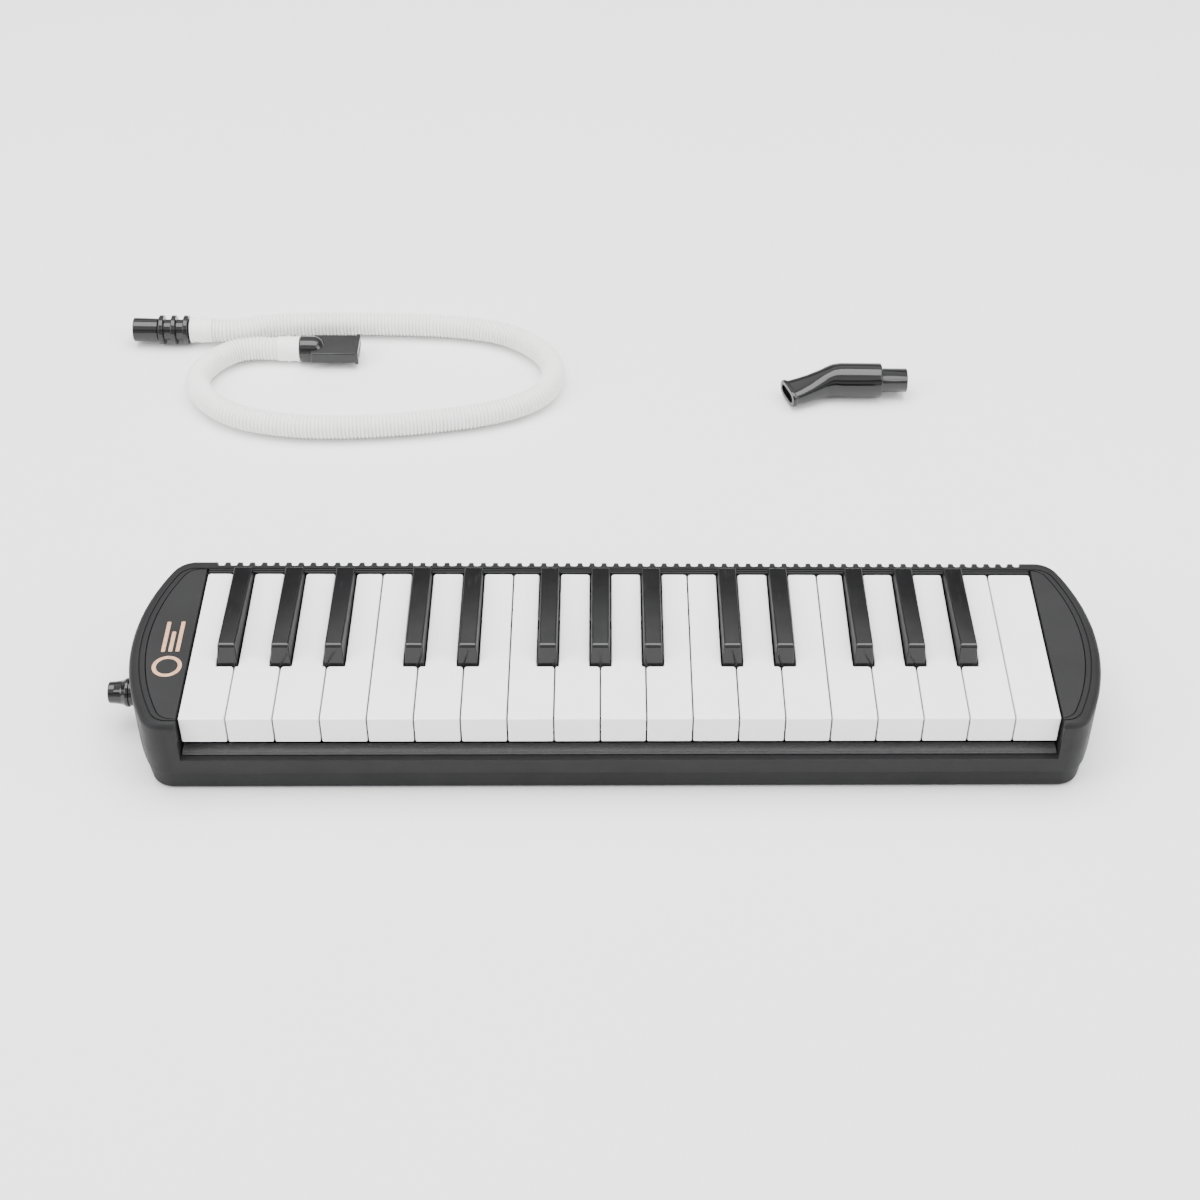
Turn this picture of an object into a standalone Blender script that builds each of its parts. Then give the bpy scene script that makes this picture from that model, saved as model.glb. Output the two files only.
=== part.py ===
"""Melodica with 32 sprung keys, its bent mouthpiece and its blowing hose.

Units are metres. X runs along the keyboard from low to high notes, the player
sits at -Y, and +Z is up. The origin is on the underside of the casing, under
the middle of the keyboard.
"""
import math

import bmesh
import bpy
from mathutils import Matrix, Vector

# Keyboard
WHITE_PITCH = 0.0186
KEY_GAP = 0.0006
WHITE_COUNT = 19
FIRST_WHITE = 3                       # F, counting C as 0
FIRST_OCTAVE = 3
KEYBOARD_HALF = WHITE_PITCH * WHITE_COUNT / 2
KEY_FRONT_Y = -0.0470
KEY_BACK_Y = 0.0400
WHITE_TOP_Z = 0.0370
PLATE_THICKNESS = 0.0027
LIP_DROP = 0.0130
LIP_THICKNESS = 0.0021
BLACK_WIDTH = 0.0085
BLACK_FRONT_Y = -0.0159
BLACK_FRONT_TOP_Z = 0.0453
BLACK_BACK_TOP_Z = 0.0412
BLACK_SLANT = 0.0030
BLACK_DRAFT = 0.095
BLACK_CLEARANCE = 0.00035
BLACK_FRONT_CLEARANCE = 0.00085       # a pressed key's foot swings forward into this

# Key levers, pads and pivot
PIVOT_Y = 0.0240
PIVOT_Z = 0.0262
ROD_RADIUS = 0.0012
ROD_HOLE_RADIUS = 0.00155
HUB_RADIUS = 0.0029
WEB_WIDTH = 0.0040
PAD_Y = 0.0380
PAD_LENGTH = 0.0086
PAD_WIDTH = 0.0078
PAD_THICKNESS = 0.0015

# Casing
BODY_FRONT_Y = -0.0512
BODY_REAR_Y = 0.0484
LEFT_END_X = -0.2020
RIGHT_END_X = 0.1994
END_CENTRE_Y = -0.0016
END_RADIUS = 0.1000
CORNER_RADIUS = 0.0110
CASING_TOP_Z = 0.0375
SPLIT_Z = 0.0100
WALL = 0.0025
FLOOR = 0.0020
GAP = 0.0003
BLOCK_INNER_X = KEYBOARD_HALF + 0.0006
BLOCK_WALL_X = BLOCK_INNER_X + WALL
RAIL_FRONT_Y = 0.0403
RAIL_UNDERSIDE_Z = 0.0325
FRONT_BEAM_Y = -0.0425
FRONT_BEAM_TOP_Z = 0.0177
PANEL_SIDE_INSET = 0.0070
PANEL_REAR_INSET = 0.0062
PANEL_FRONT_INSET = 0.0043
PANEL_CORNER = 0.0075
PANEL_THICKNESS = 0.0015
SLOT_PITCH = 0.0052
SLOT_WIDTH = 0.0028
SLOT_FRONT_Y = 0.0447

# Wind chest
CHEST_HALF_LENGTH = 0.1767
CHEST_FRONT_Y = -0.0200
CHEST_BACK_Y = 0.0444
CHEST_BOTTOM_Z = 0.0106
DECK_Z = 0.0222
CELL_WIDTH = 0.0070
CELL_FRONT_Y = 0.0030
CELL_BACK_Y = 0.0412
CELL_TOP_Z = 0.0202
WINDOW_WIDTH = 0.0052
WINDOW_LENGTH = 0.0060
REED_PLATE_THICKNESS = 0.0014
LONGEST_REED = 0.0300
SHORTEST_REED = 0.0130
COVER_WALL = 0.0022

# Blow nipple, drain valve
PORT_Y = -0.0112
PORT_Z = 0.0165
NIPPLE_TIP_X = -0.2124
NIPPLE_TIP_RADIUS = 0.0045
NIPPLE_FLANGE_RADIUS = 0.0061
NIPPLE_BASE_RADIUS = 0.0056
NIPPLE_TUBE_RADIUS = 0.0040
NIPPLE_BORE_RADIUS = 0.0032
SEAL_THICKNESS = 0.0020

# Accessories
HOSE_RADIUS = 0.0060
CUFF_RADIUS = 0.00625
HOSE_CENTRE = (-0.1180, 0.2150)
MOUTHPIECE_X = 0.0830
MOUTHPIECE_LENGTH = 0.0622
MOUTHPIECE_Y = 0.2200

SIDES = 16

NOTES = ("C", "D", "E", "F", "G", "A", "B")
SHARP_AFTER = {0: -0.0016, 1: 0.0016, 3: -0.0030, 4: 0.0, 5: 0.0030}

COLOURS = {
    "casing": ((0.035, 0.035, 0.037), 0.45, 0.0),
    "panel": ((0.030, 0.030, 0.032), 0.35, 0.0),
    "white_key": ((0.86, 0.86, 0.85), 0.18, 0.0),
    "black_key": ((0.012, 0.012, 0.013), 0.12, 0.0),
    "chest": ((0.55, 0.55, 0.52), 0.5, 0.0),
    "brass": ((0.72, 0.55, 0.25), 0.3, 1.0),
    "steel": ((0.60, 0.60, 0.62), 0.3, 1.0),
    "rubber": ((0.04, 0.04, 0.04), 0.8, 0.0),
    "felt": ((0.030, 0.030, 0.032), 0.95, 0.0),
    "black_gloss": ((0.010, 0.010, 0.011), 0.08, 0.0),
    "hose": ((0.88, 0.88, 0.86), 0.4, 0.0),
}


# Mesh helpers

def clear_scene():
    for old in list(bpy.data.objects):
        bpy.data.objects.remove(old, do_unlink=True)


def surface(name, finish):
    colour, roughness, metallic = COLOURS[finish]
    material = bpy.data.materials.new(name)
    material.use_nodes = True
    shader = material.node_tree.nodes["Principled BSDF"]
    shader.inputs["Base Color"].default_value = (*colour, 1.0)
    shader.inputs["Roughness"].default_value = roughness
    shader.inputs["Metallic"].default_value = metallic
    return material


def new_mesh(name, shape):
    bmesh.ops.recalc_face_normals(shape, faces=shape.faces)
    mesh = bpy.data.meshes.new(name)
    shape.to_mesh(mesh)
    shape.free()
    return mesh


def new_object(name, mesh, finish=None, smooth=False):
    piece = bpy.data.objects.new(name, mesh)
    bpy.context.scene.collection.objects.link(piece)
    if finish:
        mesh.materials.clear()
        mesh.materials.append(surface(name, finish))
    if smooth:
        mesh.shade_smooth()
        mesh.set_sharp_from_angle(angle=math.radians(35))
    return piece


def add_box(shape, low, high):
    size = Vector(high) - Vector(low)
    centre = (Vector(high) + Vector(low)) / 2
    place = Matrix.Translation(centre) @ Matrix.Diagonal((*size, 1.0))
    bmesh.ops.create_cube(shape, size=1.0, matrix=place)


def add_prism(shape, outline, low, high, axis="Z"):
    """Extrude a flat outline; its two coordinates are the other axes in order."""
    place = {"X": lambda u, v, w: (w, u, v), "Y": lambda u, v, w: (u, w, v),
             "Z": lambda u, v, w: (u, v, w)}[axis]
    rings = [[shape.verts.new(place(u, v, w)) for u, v in outline] for w in (low, high)]
    add_skin(shape, rings, closed=False)


def add_skin(shape, rings, closed):
    """Join rings of equal length with quads; the ends are capped or joined."""
    pairs = list(zip(rings, rings[1:]))
    if closed:
        pairs.append((rings[-1], rings[0]))
    for first, second in pairs:
        count = len(first)
        for i in range(count):
            j = (i + 1) % count
            shape.faces.new((first[i], first[j], second[j], second[i]))
    if not closed:
        shape.faces.new(list(reversed(rings[0])))
        shape.faces.new(rings[-1])


def add_turned(shape, profile, start, direction, sides=SIDES, closed=False):
    """Turn (distance, radius) points about the line from start along direction."""
    along = Vector(direction).normalized()
    across = along.orthogonal().normalized()
    other = along.cross(across)
    rings = []
    for distance, radius in profile:
        centre = Vector(start) + along * distance
        turn = [2 * math.pi * k / sides for k in range(sides)]
        rings.append([shape.verts.new(centre + radius * (math.cos(a) * across + math.sin(a) * other))
                      for a in turn])
    add_skin(shape, rings, closed)


def fuse_or_cut(target, tool_mesh, operation):
    """Apply an exact Boolean between an object and a loose mesh."""
    tool = new_object(target.name + "_tool", tool_mesh)
    modifier = target.modifiers.new("boolean", "BOOLEAN")
    modifier.operation = operation
    modifier.solver = "EXACT"
    modifier.object = tool
    bpy.context.view_layer.update()
    evaluated = target.evaluated_get(bpy.context.evaluated_depsgraph_get())
    result = bpy.data.meshes.new_from_object(evaluated)
    target.modifiers.clear()
    target.data = result
    bpy.data.objects.remove(tool, do_unlink=True)


def cut(target, add_tools):
    shape = bmesh.new()
    add_tools(shape)
    fuse_or_cut(target, new_mesh("cutter", shape), "DIFFERENCE")


def fuse(target, add_tools):
    shape = bmesh.new()
    add_tools(shape)
    fuse_or_cut(target, new_mesh("addition", shape), "UNION")


def tidy(target):
    """Merge doubled points and dissolve leftover flat edges."""
    shape = bmesh.new()
    shape.from_mesh(target.data)
    bmesh.ops.remove_doubles(shape, verts=shape.verts, dist=2e-6)
    bmesh.ops.dissolve_degenerate(shape, edges=shape.edges, dist=2e-6)
    bmesh.ops.triangulate(shape, faces=[f for f in shape.faces if len(f.verts) > 4])
    shape.to_mesh(target.data)
    shape.free()


def piece_from(name, finish, add_shape, smooth=False):
    shape = bmesh.new()
    add_shape(shape)
    return new_object(name, new_mesh(name, shape), finish, smooth)


def circle(centre_u, centre_v, radius, sides, start=0.0, end=2 * math.pi, whole=True):
    steps = sides if whole else sides - 1
    return [(centre_u + radius * math.cos(start + (end - start) * k / steps),
             centre_v + radius * math.sin(start + (end - start) * k / steps))
            for k in range(sides)]


# Keyboard layout

def white_left(index):
    return -KEYBOARD_HALF + WHITE_PITCH * index


def sharp_centre(index):
    """X of the black key after white key number index, or None."""
    degree = (FIRST_WHITE + index) % 7
    if index < 0 or index > WHITE_COUNT - 2 or degree not in SHARP_AFTER:
        return None
    return white_left(index + 1) + SHARP_AFTER[degree]


def rear_bounds(index):
    """X limits of a white key's narrow rear part."""
    left = white_left(index) + KEY_GAP / 2
    right = white_left(index + 1) - KEY_GAP / 2
    reach = BLACK_WIDTH / 2 + BLACK_CLEARANCE
    if sharp_centre(index - 1) is not None:
        left = sharp_centre(index - 1) + reach
    if sharp_centre(index) is not None:
        right = sharp_centre(index) - reach
    return left, right


def note_name(index, sharp=False):
    step = FIRST_WHITE + index
    return NOTES[step % 7] + ("s" if sharp else "") + str(FIRST_OCTAVE + step // 7)


def key_layout():
    """Every key from low to high: (name, is sharp, white index, tail X)."""
    keys = []
    for index in range(WHITE_COUNT):
        left, right = rear_bounds(index)
        keys.append(("white_key_" + note_name(index), False, index, (left + right) / 2))
        if sharp_centre(index) is not None:
            name = "black_key_" + note_name(index, sharp=True)
            keys.append((name, True, index, sharp_centre(index)))
    return keys


# Keys

def lever_profile(front_y, top_z):
    """Side view of the lever under a key, from its front round to its tail."""
    tail_y = PAD_Y + PAD_LENGTH / 2
    bottom = DECK_Z + GAP + PAD_THICKNESS - 0.0003
    return [(front_y, top_z), (front_y, top_z - 0.0050),
            (PIVOT_Y - 0.0085, PIVOT_Z + 0.0012),
            (PIVOT_Y - HUB_RADIUS, PIVOT_Z - 0.0006),
            (PIVOT_Y - HUB_RADIUS * 0.45, PIVOT_Z - HUB_RADIUS * 0.9),
            (PIVOT_Y + HUB_RADIUS * 0.45, PIVOT_Z - HUB_RADIUS * 0.9),
            (PIVOT_Y + HUB_RADIUS, PIVOT_Z - 0.0016),
            (PIVOT_Y + HUB_RADIUS + 0.0015, bottom), (tail_y, bottom),
            (tail_y, bottom + 0.0034), (KEY_BACK_Y - 0.0060, bottom + 0.0042),
            (KEY_BACK_Y - 0.0090, top_z)]


def add_lever(key, tail_x, front_y, top_z):
    """Fuse the lever to a key and bore it for the pivot rod."""
    def add_web(shape):
        half = WEB_WIDTH / 2
        add_prism(shape, lever_profile(front_y, top_z), tail_x - half, tail_x + half, "X")

    def add_bore(shape):
        add_prism(shape, circle(PIVOT_Y, PIVOT_Z, ROD_HOLE_RADIUS, 8),
                  tail_x - WEB_WIDTH, tail_x + WEB_WIDTH, "X")

    fuse(key, add_web)
    cut(key, add_bore)


def add_pad(key, tail_x):
    """The soft pad under the tail, which closes this key's window."""
    half_width, half_length, low_z = PAD_WIDTH / 2, PAD_LENGTH / 2 - 0.0002, DECK_Z + GAP
    fuse(key, lambda s: add_box(s, (tail_x - half_width, PAD_Y - half_length, low_z),
                                (tail_x + half_width, PAD_Y + half_length,
                                 low_z + PAD_THICKNESS)))


def white_outline(index):
    """Top view of a white key, with its cut-outs for the black keys."""
    left = white_left(index) + KEY_GAP / 2
    right = white_left(index + 1) - KEY_GAP / 2
    rear_left, rear_right = rear_bounds(index)
    notch_y = BLACK_FRONT_Y - BLACK_FRONT_CLEARANCE
    chamfer = 0.0006
    points = [(left, KEY_FRONT_Y), (right, KEY_FRONT_Y)]
    if rear_right < right - chamfer:
        points += [(right, notch_y), (rear_right, notch_y)]
    points += [(rear_right, KEY_BACK_Y - chamfer), (rear_right - chamfer, KEY_BACK_Y),
               (rear_left + chamfer, KEY_BACK_Y), (rear_left, KEY_BACK_Y - chamfer)]
    if rear_left > left + chamfer:
        points += [(rear_left, notch_y), (left, notch_y)]
    return points


def white_key_shape(index, tail_x):
    plate_low = WHITE_TOP_Z - PLATE_THICKNESS
    left = white_left(index) + KEY_GAP / 2
    right = white_left(index + 1) - KEY_GAP / 2
    key = piece_from("white_key_shape", None,
                     lambda s: add_prism(s, white_outline(index), plate_low, WHITE_TOP_Z))

    def add_lip(shape):
        add_box(shape, (left, KEY_FRONT_Y, WHITE_TOP_Z - LIP_DROP),
                (right, KEY_FRONT_Y + LIP_THICKNESS, WHITE_TOP_Z - 0.0010))

    fuse(key, add_lip)
    add_lever(key, tail_x, KEY_FRONT_Y + LIP_THICKNESS + 0.0030, plate_low + 0.0010)
    add_pad(key, tail_x)
    tidy(key)
    return key


def black_key_shape(centre_x):
    base_z = WHITE_TOP_Z - PLATE_THICKNESS
    side = [(BLACK_FRONT_Y, base_z), (KEY_BACK_Y, base_z), (KEY_BACK_Y, BLACK_BACK_TOP_Z),
            (BLACK_FRONT_Y + BLACK_SLANT, BLACK_FRONT_TOP_Z),
            (BLACK_FRONT_Y, WHITE_TOP_Z - 0.0004)]
    half = BLACK_WIDTH / 2
    key = piece_from("black_key_shape", None, lambda s: add_prism(s, side, -half, half, "X"))
    for vertex in key.data.vertices:
        rise = max(vertex.co.z - WHITE_TOP_Z, 0.0)
        vertex.co.x = math.copysign(half - BLACK_DRAFT * rise, vertex.co.x) + centre_x
    add_lever(key, centre_x, BLACK_FRONT_Y + 0.0030, base_z + 0.0010)
    add_pad(key, centre_x)
    tidy(key)
    return key


def make_keys():
    """32 keys; those of the same shape share one mesh."""
    shapes = {}
    for name, sharp, index, tail_x in key_layout():
        centre = tail_x if sharp else (white_left(index) + white_left(index + 1)) / 2
        degree = (FIRST_WHITE + index) % 7
        last = index == WHITE_COUNT - 1
        kind = "sharp" if sharp else (degree, last)
        if kind not in shapes:
            made = black_key_shape(tail_x) if sharp else white_key_shape(index, tail_x)
            mesh = made.data
            mesh.transform(Matrix.Translation((-centre, -PIVOT_Y, -PIVOT_Z)))
            bpy.data.objects.remove(made, do_unlink=True)
            shapes[kind] = mesh
        key = new_object(name, shapes[kind].copy(), "black_key" if sharp else "white_key")
        key.location = (centre, PIVOT_Y, PIVOT_Z)


# Casing

def corner_arc(centre_x, radius, corner, edge_y, steps):
    """Corner joining a straight edge to a bulge, and the angle where it meets the bulge."""
    side = math.copysign(1.0, edge_y)
    corner_y = edge_y - side * corner
    offset = corner_y - END_CENTRE_Y
    corner_x = centre_x + math.sqrt((radius - corner) ** 2 - offset ** 2)
    meet = math.atan2(offset, corner_x - centre_x)
    straight = side * math.pi / 2
    angles = [straight + (meet - straight) * k / steps for k in range(steps + 1)]
    return [(corner_x + corner * math.cos(a), corner_y + corner * math.sin(a)) for a in angles], meet


def end_curve(end_x, insets, corner, steps=7, corner_steps=4):
    """One bulged end from its rear to its front corner, inset at its side, rear and front."""
    side_inset, rear_inset, front_inset = insets
    centre_x = abs(end_x) - END_RADIUS
    radius = END_RADIUS - side_inset
    rear, top = corner_arc(centre_x, radius, corner, BODY_REAR_Y - rear_inset, corner_steps)
    front, bottom = corner_arc(centre_x, radius, corner, BODY_FRONT_Y + front_inset, corner_steps)
    bulge = [(centre_x + radius * math.cos(a), END_CENTRE_Y + radius * math.sin(a))
             for a in [top + (bottom - top) * k / steps for k in range(1, steps)]]
    return [(math.copysign(x, end_x), y) for x, y in rear + bulge + list(reversed(front))]


def body_end(end_x, inset):
    return end_curve(end_x, (inset, inset, inset), CORNER_RADIUS - inset)


def body_outline(inset):
    return list(reversed(body_end(RIGHT_END_X, inset))) + body_end(LEFT_END_X, inset)


def closed_end(curve, inner_x):
    """Outline of one end block, closed by a straight edge at inner_x."""
    beyond = [point for point in curve if abs(point[0]) > inner_x + 0.0005]
    edge_x = math.copysign(inner_x, curve[0][0])
    return [(edge_x, curve[0][1])] + beyond + [(edge_x, curve[-1][1])]


def panel_outline(end_x, inner_x, grow=0.0):
    insets = [v - grow for v in (PANEL_SIDE_INSET, PANEL_REAR_INSET, PANEL_FRONT_INSET)]
    return closed_end(end_curve(end_x, insets, PANEL_CORNER + grow), inner_x)


def add_port(shape, x_low, x_high, radius, sides=12):
    add_prism(shape, circle(PORT_Y, PORT_Z, radius, sides), x_low, x_high, "X")


SCREW_SPOTS = {"front_left": (-0.188, -0.0300), "back_left": (-0.188, 0.0300),
               "front_right": (0.186, -0.0300), "back_right": (0.186, 0.0300)}
BOSS_RADIUS = 0.0042
SCREW_RADIUS = 0.0013
SCREW_HEAD_RADIUS = 0.0028
SCREW_TOP_Z = 0.0165


def make_lower_casing():
    inset = 0.0012

    def add_tray(shape):
        rings = [(inset + 0.0010, 0.0), (inset, 0.0010), (inset, SPLIT_Z),
                 (inset + WALL, SPLIT_Z), (inset + WALL, FLOOR)]
        loops = [[shape.verts.new((x, y, z)) for x, y in body_outline(i)] for i, z in rings]
        add_skin(shape, loops, closed=False)

    def add_bosses(shape):
        for x, y in SCREW_SPOTS.values():
            add_prism(shape, circle(x, y, BOSS_RADIUS, 8), FLOOR - 0.0005, SPLIT_Z - 0.0001)

    def add_holes(shape):
        for x, y in SCREW_SPOTS.values():
            add_prism(shape, circle(x, y, SCREW_RADIUS + GAP, 8), -0.001, SPLIT_Z + 0.001)

    def add_counterbores(shape):
        for x, y in SCREW_SPOTS.values():
            add_prism(shape, circle(x, y, SCREW_HEAD_RADIUS + GAP * 1.5, 8), -0.001, 0.0026)

    casing = piece_from("lower_casing", None, add_tray)
    fuse(casing, add_bosses)
    cut(casing, add_holes)
    cut(casing, add_counterbores)
    tidy(casing)
    casing.data.materials.append(surface("lower_casing", "casing"))


def add_casing_top(shape):
    """Outer form of the upper casing, with a rounded top edge."""
    rings = [(0.0, SPLIT_Z + GAP), (0.0, CASING_TOP_Z - 0.0022), (0.0030, CASING_TOP_Z)]
    loops = [[shape.verts.new((x, y, z)) for x, y in body_outline(i)] for i, z in rings]
    add_skin(shape, loops, closed=False)


def make_upper_casing():
    casing = piece_from("upper_casing", None, add_casing_top)
    below = SPLIT_Z - 0.001

    def add_key_well(shape):
        outline = [(-0.060, FRONT_BEAM_TOP_Z), (FRONT_BEAM_Y, FRONT_BEAM_TOP_Z),
                   (FRONT_BEAM_Y, below), (BODY_REAR_Y - WALL, below),
                   (BODY_REAR_Y - WALL, RAIL_UNDERSIDE_Z), (RAIL_FRONT_Y, RAIL_UNDERSIDE_Z),
                   (RAIL_FRONT_Y, 0.050), (-0.060, 0.050)]
        add_prism(shape, outline, -BLOCK_INNER_X, BLOCK_INNER_X, "X")

    def add_block_pockets(shape):
        for end_x in (LEFT_END_X, RIGHT_END_X):
            outline = closed_end(body_end(end_x, WALL), BLOCK_WALL_X)
            add_prism(shape, outline, below, CASING_TOP_Z - 0.0045)

    def add_panel_recesses(shape):
        for end_x in (LEFT_END_X, RIGHT_END_X):
            outline = panel_outline(end_x, BLOCK_INNER_X - 0.0010, GAP)
            add_prism(shape, outline, CASING_TOP_Z - PANEL_THICKNESS - GAP, 0.050)

    def add_slots(shape):
        count = int(2 * KEYBOARD_HALF / SLOT_PITCH)
        for i in range(count):
            x = (i - (count - 1) / 2) * SLOT_PITCH
            add_box(shape, (x - SLOT_WIDTH / 2, SLOT_FRONT_Y, CASING_TOP_Z - 0.0042),
                    (x + SLOT_WIDTH / 2, BODY_REAR_Y + 0.002, 0.050))

    def add_posts(shape):
        for x, y in SCREW_SPOTS.values():
            add_prism(shape, circle(x, y, BOSS_RADIUS, 8), SPLIT_Z + GAP, CASING_TOP_Z - 0.0040)

    def add_bores(shape):
        for x, y in SCREW_SPOTS.values():
            top = SCREW_TOP_Z + 2 * GAP
            add_prism(shape, circle(x, y, SCREW_RADIUS + GAP, 8), below, top)
        add_port(shape, -0.230, -BLOCK_WALL_X - 0.010, NIPPLE_BASE_RADIUS + GAP)
        add_port(shape, -BLOCK_WALL_X - 0.005, -BLOCK_INNER_X + 0.001, NIPPLE_TUBE_RADIUS + GAP)
        add_port(shape, BLOCK_INNER_X - 0.001, BLOCK_WALL_X + 0.005, DRAIN_STEM_RADIUS + 0.0004)
        add_port(shape, BLOCK_WALL_X + 0.010, 0.210, DRAIN_HEAD_RADIUS + GAP)
        for side in (-1, 1):
            low, high = sorted((side * (BLOCK_INNER_X - 0.001), side * (BLOCK_INNER_X + 0.0020)))
            add_prism(shape, circle(PIVOT_Y, PIVOT_Z, ROD_RADIUS + GAP, 10), low, high, "X")

    cut(casing, add_key_well)
    cut(casing, add_block_pockets)
    fuse(casing, add_posts)
    cut(casing, add_bores)
    cut(casing, add_panel_recesses)
    cut(casing, add_slots)
    tidy(casing)
    casing.data.materials.append(surface("upper_casing", "casing"))


def make_end_panels():
    for name, end_x in (("left_end_panel", LEFT_END_X), ("right_end_panel", RIGHT_END_X)):
        outline = panel_outline(end_x, BLOCK_INNER_X)
        piece_from(name, "panel",
                   lambda s: add_prism(s, outline, CASING_TOP_Z - PANEL_THICKNESS, CASING_TOP_Z))


def make_casing_screws():
    profile = [(0.0, SCREW_HEAD_RADIUS), (0.0013, SCREW_HEAD_RADIUS),
               (0.0013, SCREW_RADIUS), (SCREW_TOP_Z - 0.0010, SCREW_RADIUS)]
    for spot, (x, y) in SCREW_SPOTS.items():
        screw = piece_from("casing_screw_" + spot, "steel",
                           lambda s: add_turned(s, profile, (0, 0, 0), (0, 0, 1), sides=8), smooth=True)
        screw.location = (x, y, 0.0010)


def make_stop_felt():
    low = (-KEYBOARD_HALF, FRONT_BEAM_Y - 0.0060, FRONT_BEAM_TOP_Z + GAP)
    high = (KEYBOARD_HALF, FRONT_BEAM_Y - 0.0005, FRONT_BEAM_TOP_Z + GAP + 0.0015)
    piece_from("front_stop_felt", "felt", lambda s: add_box(s, low, high))


# Wind chest

PLATE_FRONT_Y = -0.0060
PLATE_BACK_Y = 0.0418
PLATE_HALF_LENGTH = 0.1738
GASKET_THICKNESS = 0.0010
COVER_FLOOR_Z = 0.0024
COVER_FLOOR = 0.0012


def make_wind_chest():
    def add_block(shape):
        add_box(shape, (-CHEST_HALF_LENGTH, CHEST_FRONT_Y, CHEST_BOTTOM_Z),
                (CHEST_HALF_LENGTH, CHEST_BACK_Y, DECK_Z))

    def add_cells(shape):
        low = CHEST_BOTTOM_Z - 0.001
        for _, _, _, x in key_layout():
            add_box(shape, (x - CELL_WIDTH / 2, CELL_FRONT_Y, low),
                    (x + CELL_WIDTH / 2, CELL_BACK_Y, CELL_TOP_Z))
        for side in (-1, 1):
            xs = sorted((side * 0.1600, side * 0.1720))
            add_box(shape, (xs[0], PORT_Y - 0.0055, low), (xs[1], PORT_Y + 0.0055, DECK_Z - 0.0012))

    def add_windows(shape):
        for _, _, _, x in key_layout():
            add_box(shape, (x - WINDOW_WIDTH / 2, PAD_Y - WINDOW_LENGTH / 2, CELL_TOP_Z - 0.001),
                    (x + WINDOW_WIDTH / 2, PAD_Y + WINDOW_LENGTH / 2, DECK_Z + 0.001))
        add_port(shape, -0.180, -0.165, NIPPLE_TUBE_RADIUS + GAP)
        add_port(shape, 0.165, 0.180, DRAIN_STEM_RADIUS + 0.0005)

    chest = piece_from("wind_chest", None, add_block)
    cut(chest, add_cells)
    cut(chest, add_windows)
    tidy(chest)
    chest.data.materials.append(surface("wind_chest", "chest"))


def rectangle(inset):
    x = CHEST_HALF_LENGTH - inset
    return [(-x, CHEST_FRONT_Y + inset), (x, CHEST_FRONT_Y + inset),
            (x, CHEST_BACK_Y - inset), (-x, CHEST_BACK_Y - inset)]


def make_gasket():
    top = CHEST_BOTTOM_Z - GAP

    def add_ring(shape):
        rings = [(0.0, top - GASKET_THICKNESS), (0.0, top), (COVER_WALL, top),
                 (COVER_WALL, top - GASKET_THICKNESS)]
        loops = [[shape.verts.new((x, y, z)) for x, y in rectangle(i)] for i, z in rings]
        add_skin(shape, loops, closed=True)

    piece_from("wind_chest_gasket", "rubber", add_ring)


def make_cover():
    top = CHEST_BOTTOM_Z - 2 * GAP - GASKET_THICKNESS

    def add_tray(shape):
        rings = [(0.0, COVER_FLOOR_Z), (0.0, top), (COVER_WALL, top),
                 (COVER_WALL, COVER_FLOOR_Z + COVER_FLOOR)]
        loops = [[shape.verts.new((x, y, z)) for x, y in rectangle(i)] for i, z in rings]
        add_skin(shape, loops, closed=False)

    piece_from("wind_chest_cover", "chest", add_tray)


def reed_length(order):
    """Reeds get shorter from the lowest to the highest note."""
    return LONGEST_REED * (SHORTEST_REED / LONGEST_REED) ** (order / 31)


def make_reed_plate():
    top = CHEST_BOTTOM_Z - GAP
    plate = piece_from("reed_plate", None, lambda s: add_box(
        s, (-PLATE_HALF_LENGTH, PLATE_FRONT_Y, top - REED_PLATE_THICKNESS),
        (PLATE_HALF_LENGTH, PLATE_BACK_Y, top)))

    def add_slots(shape):
        for order, (_, _, _, x) in enumerate(key_layout()):
            add_box(shape, (x - 0.0013, 0.0060, 0.0), (x + 0.0013, 0.0060 + reed_length(order), 0.020))

    cut(plate, add_slots)
    tidy(plate)
    plate.data.materials.append(surface("reed_plate", "brass"))


def make_reeds():
    """Brass tongues under the plate, on the strip that they are riveted to."""
    top = CHEST_BOTTOM_Z - 2 * GAP - REED_PLATE_THICKNESS
    tongue_low = top - 0.0003

    def add_strip(shape):
        add_box(shape, (-PLATE_HALF_LENGTH, 0.0028, top - 0.0009), (PLATE_HALF_LENGTH, 0.0055, top))

    def add_tongues(shape):
        for order, (_, _, _, x) in enumerate(key_layout()):
            add_box(shape, (x - 0.0011, 0.0050, tongue_low - 0.0001),
                    (x + 0.0011, 0.0057 + reed_length(order), top - 0.0001))

    reeds = piece_from("reeds", None, add_strip)
    fuse(reeds, add_tongues)
    tidy(reeds)
    reeds.data.materials.append(surface("reeds", "brass"))


# Pivot rod, brackets and springs

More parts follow.
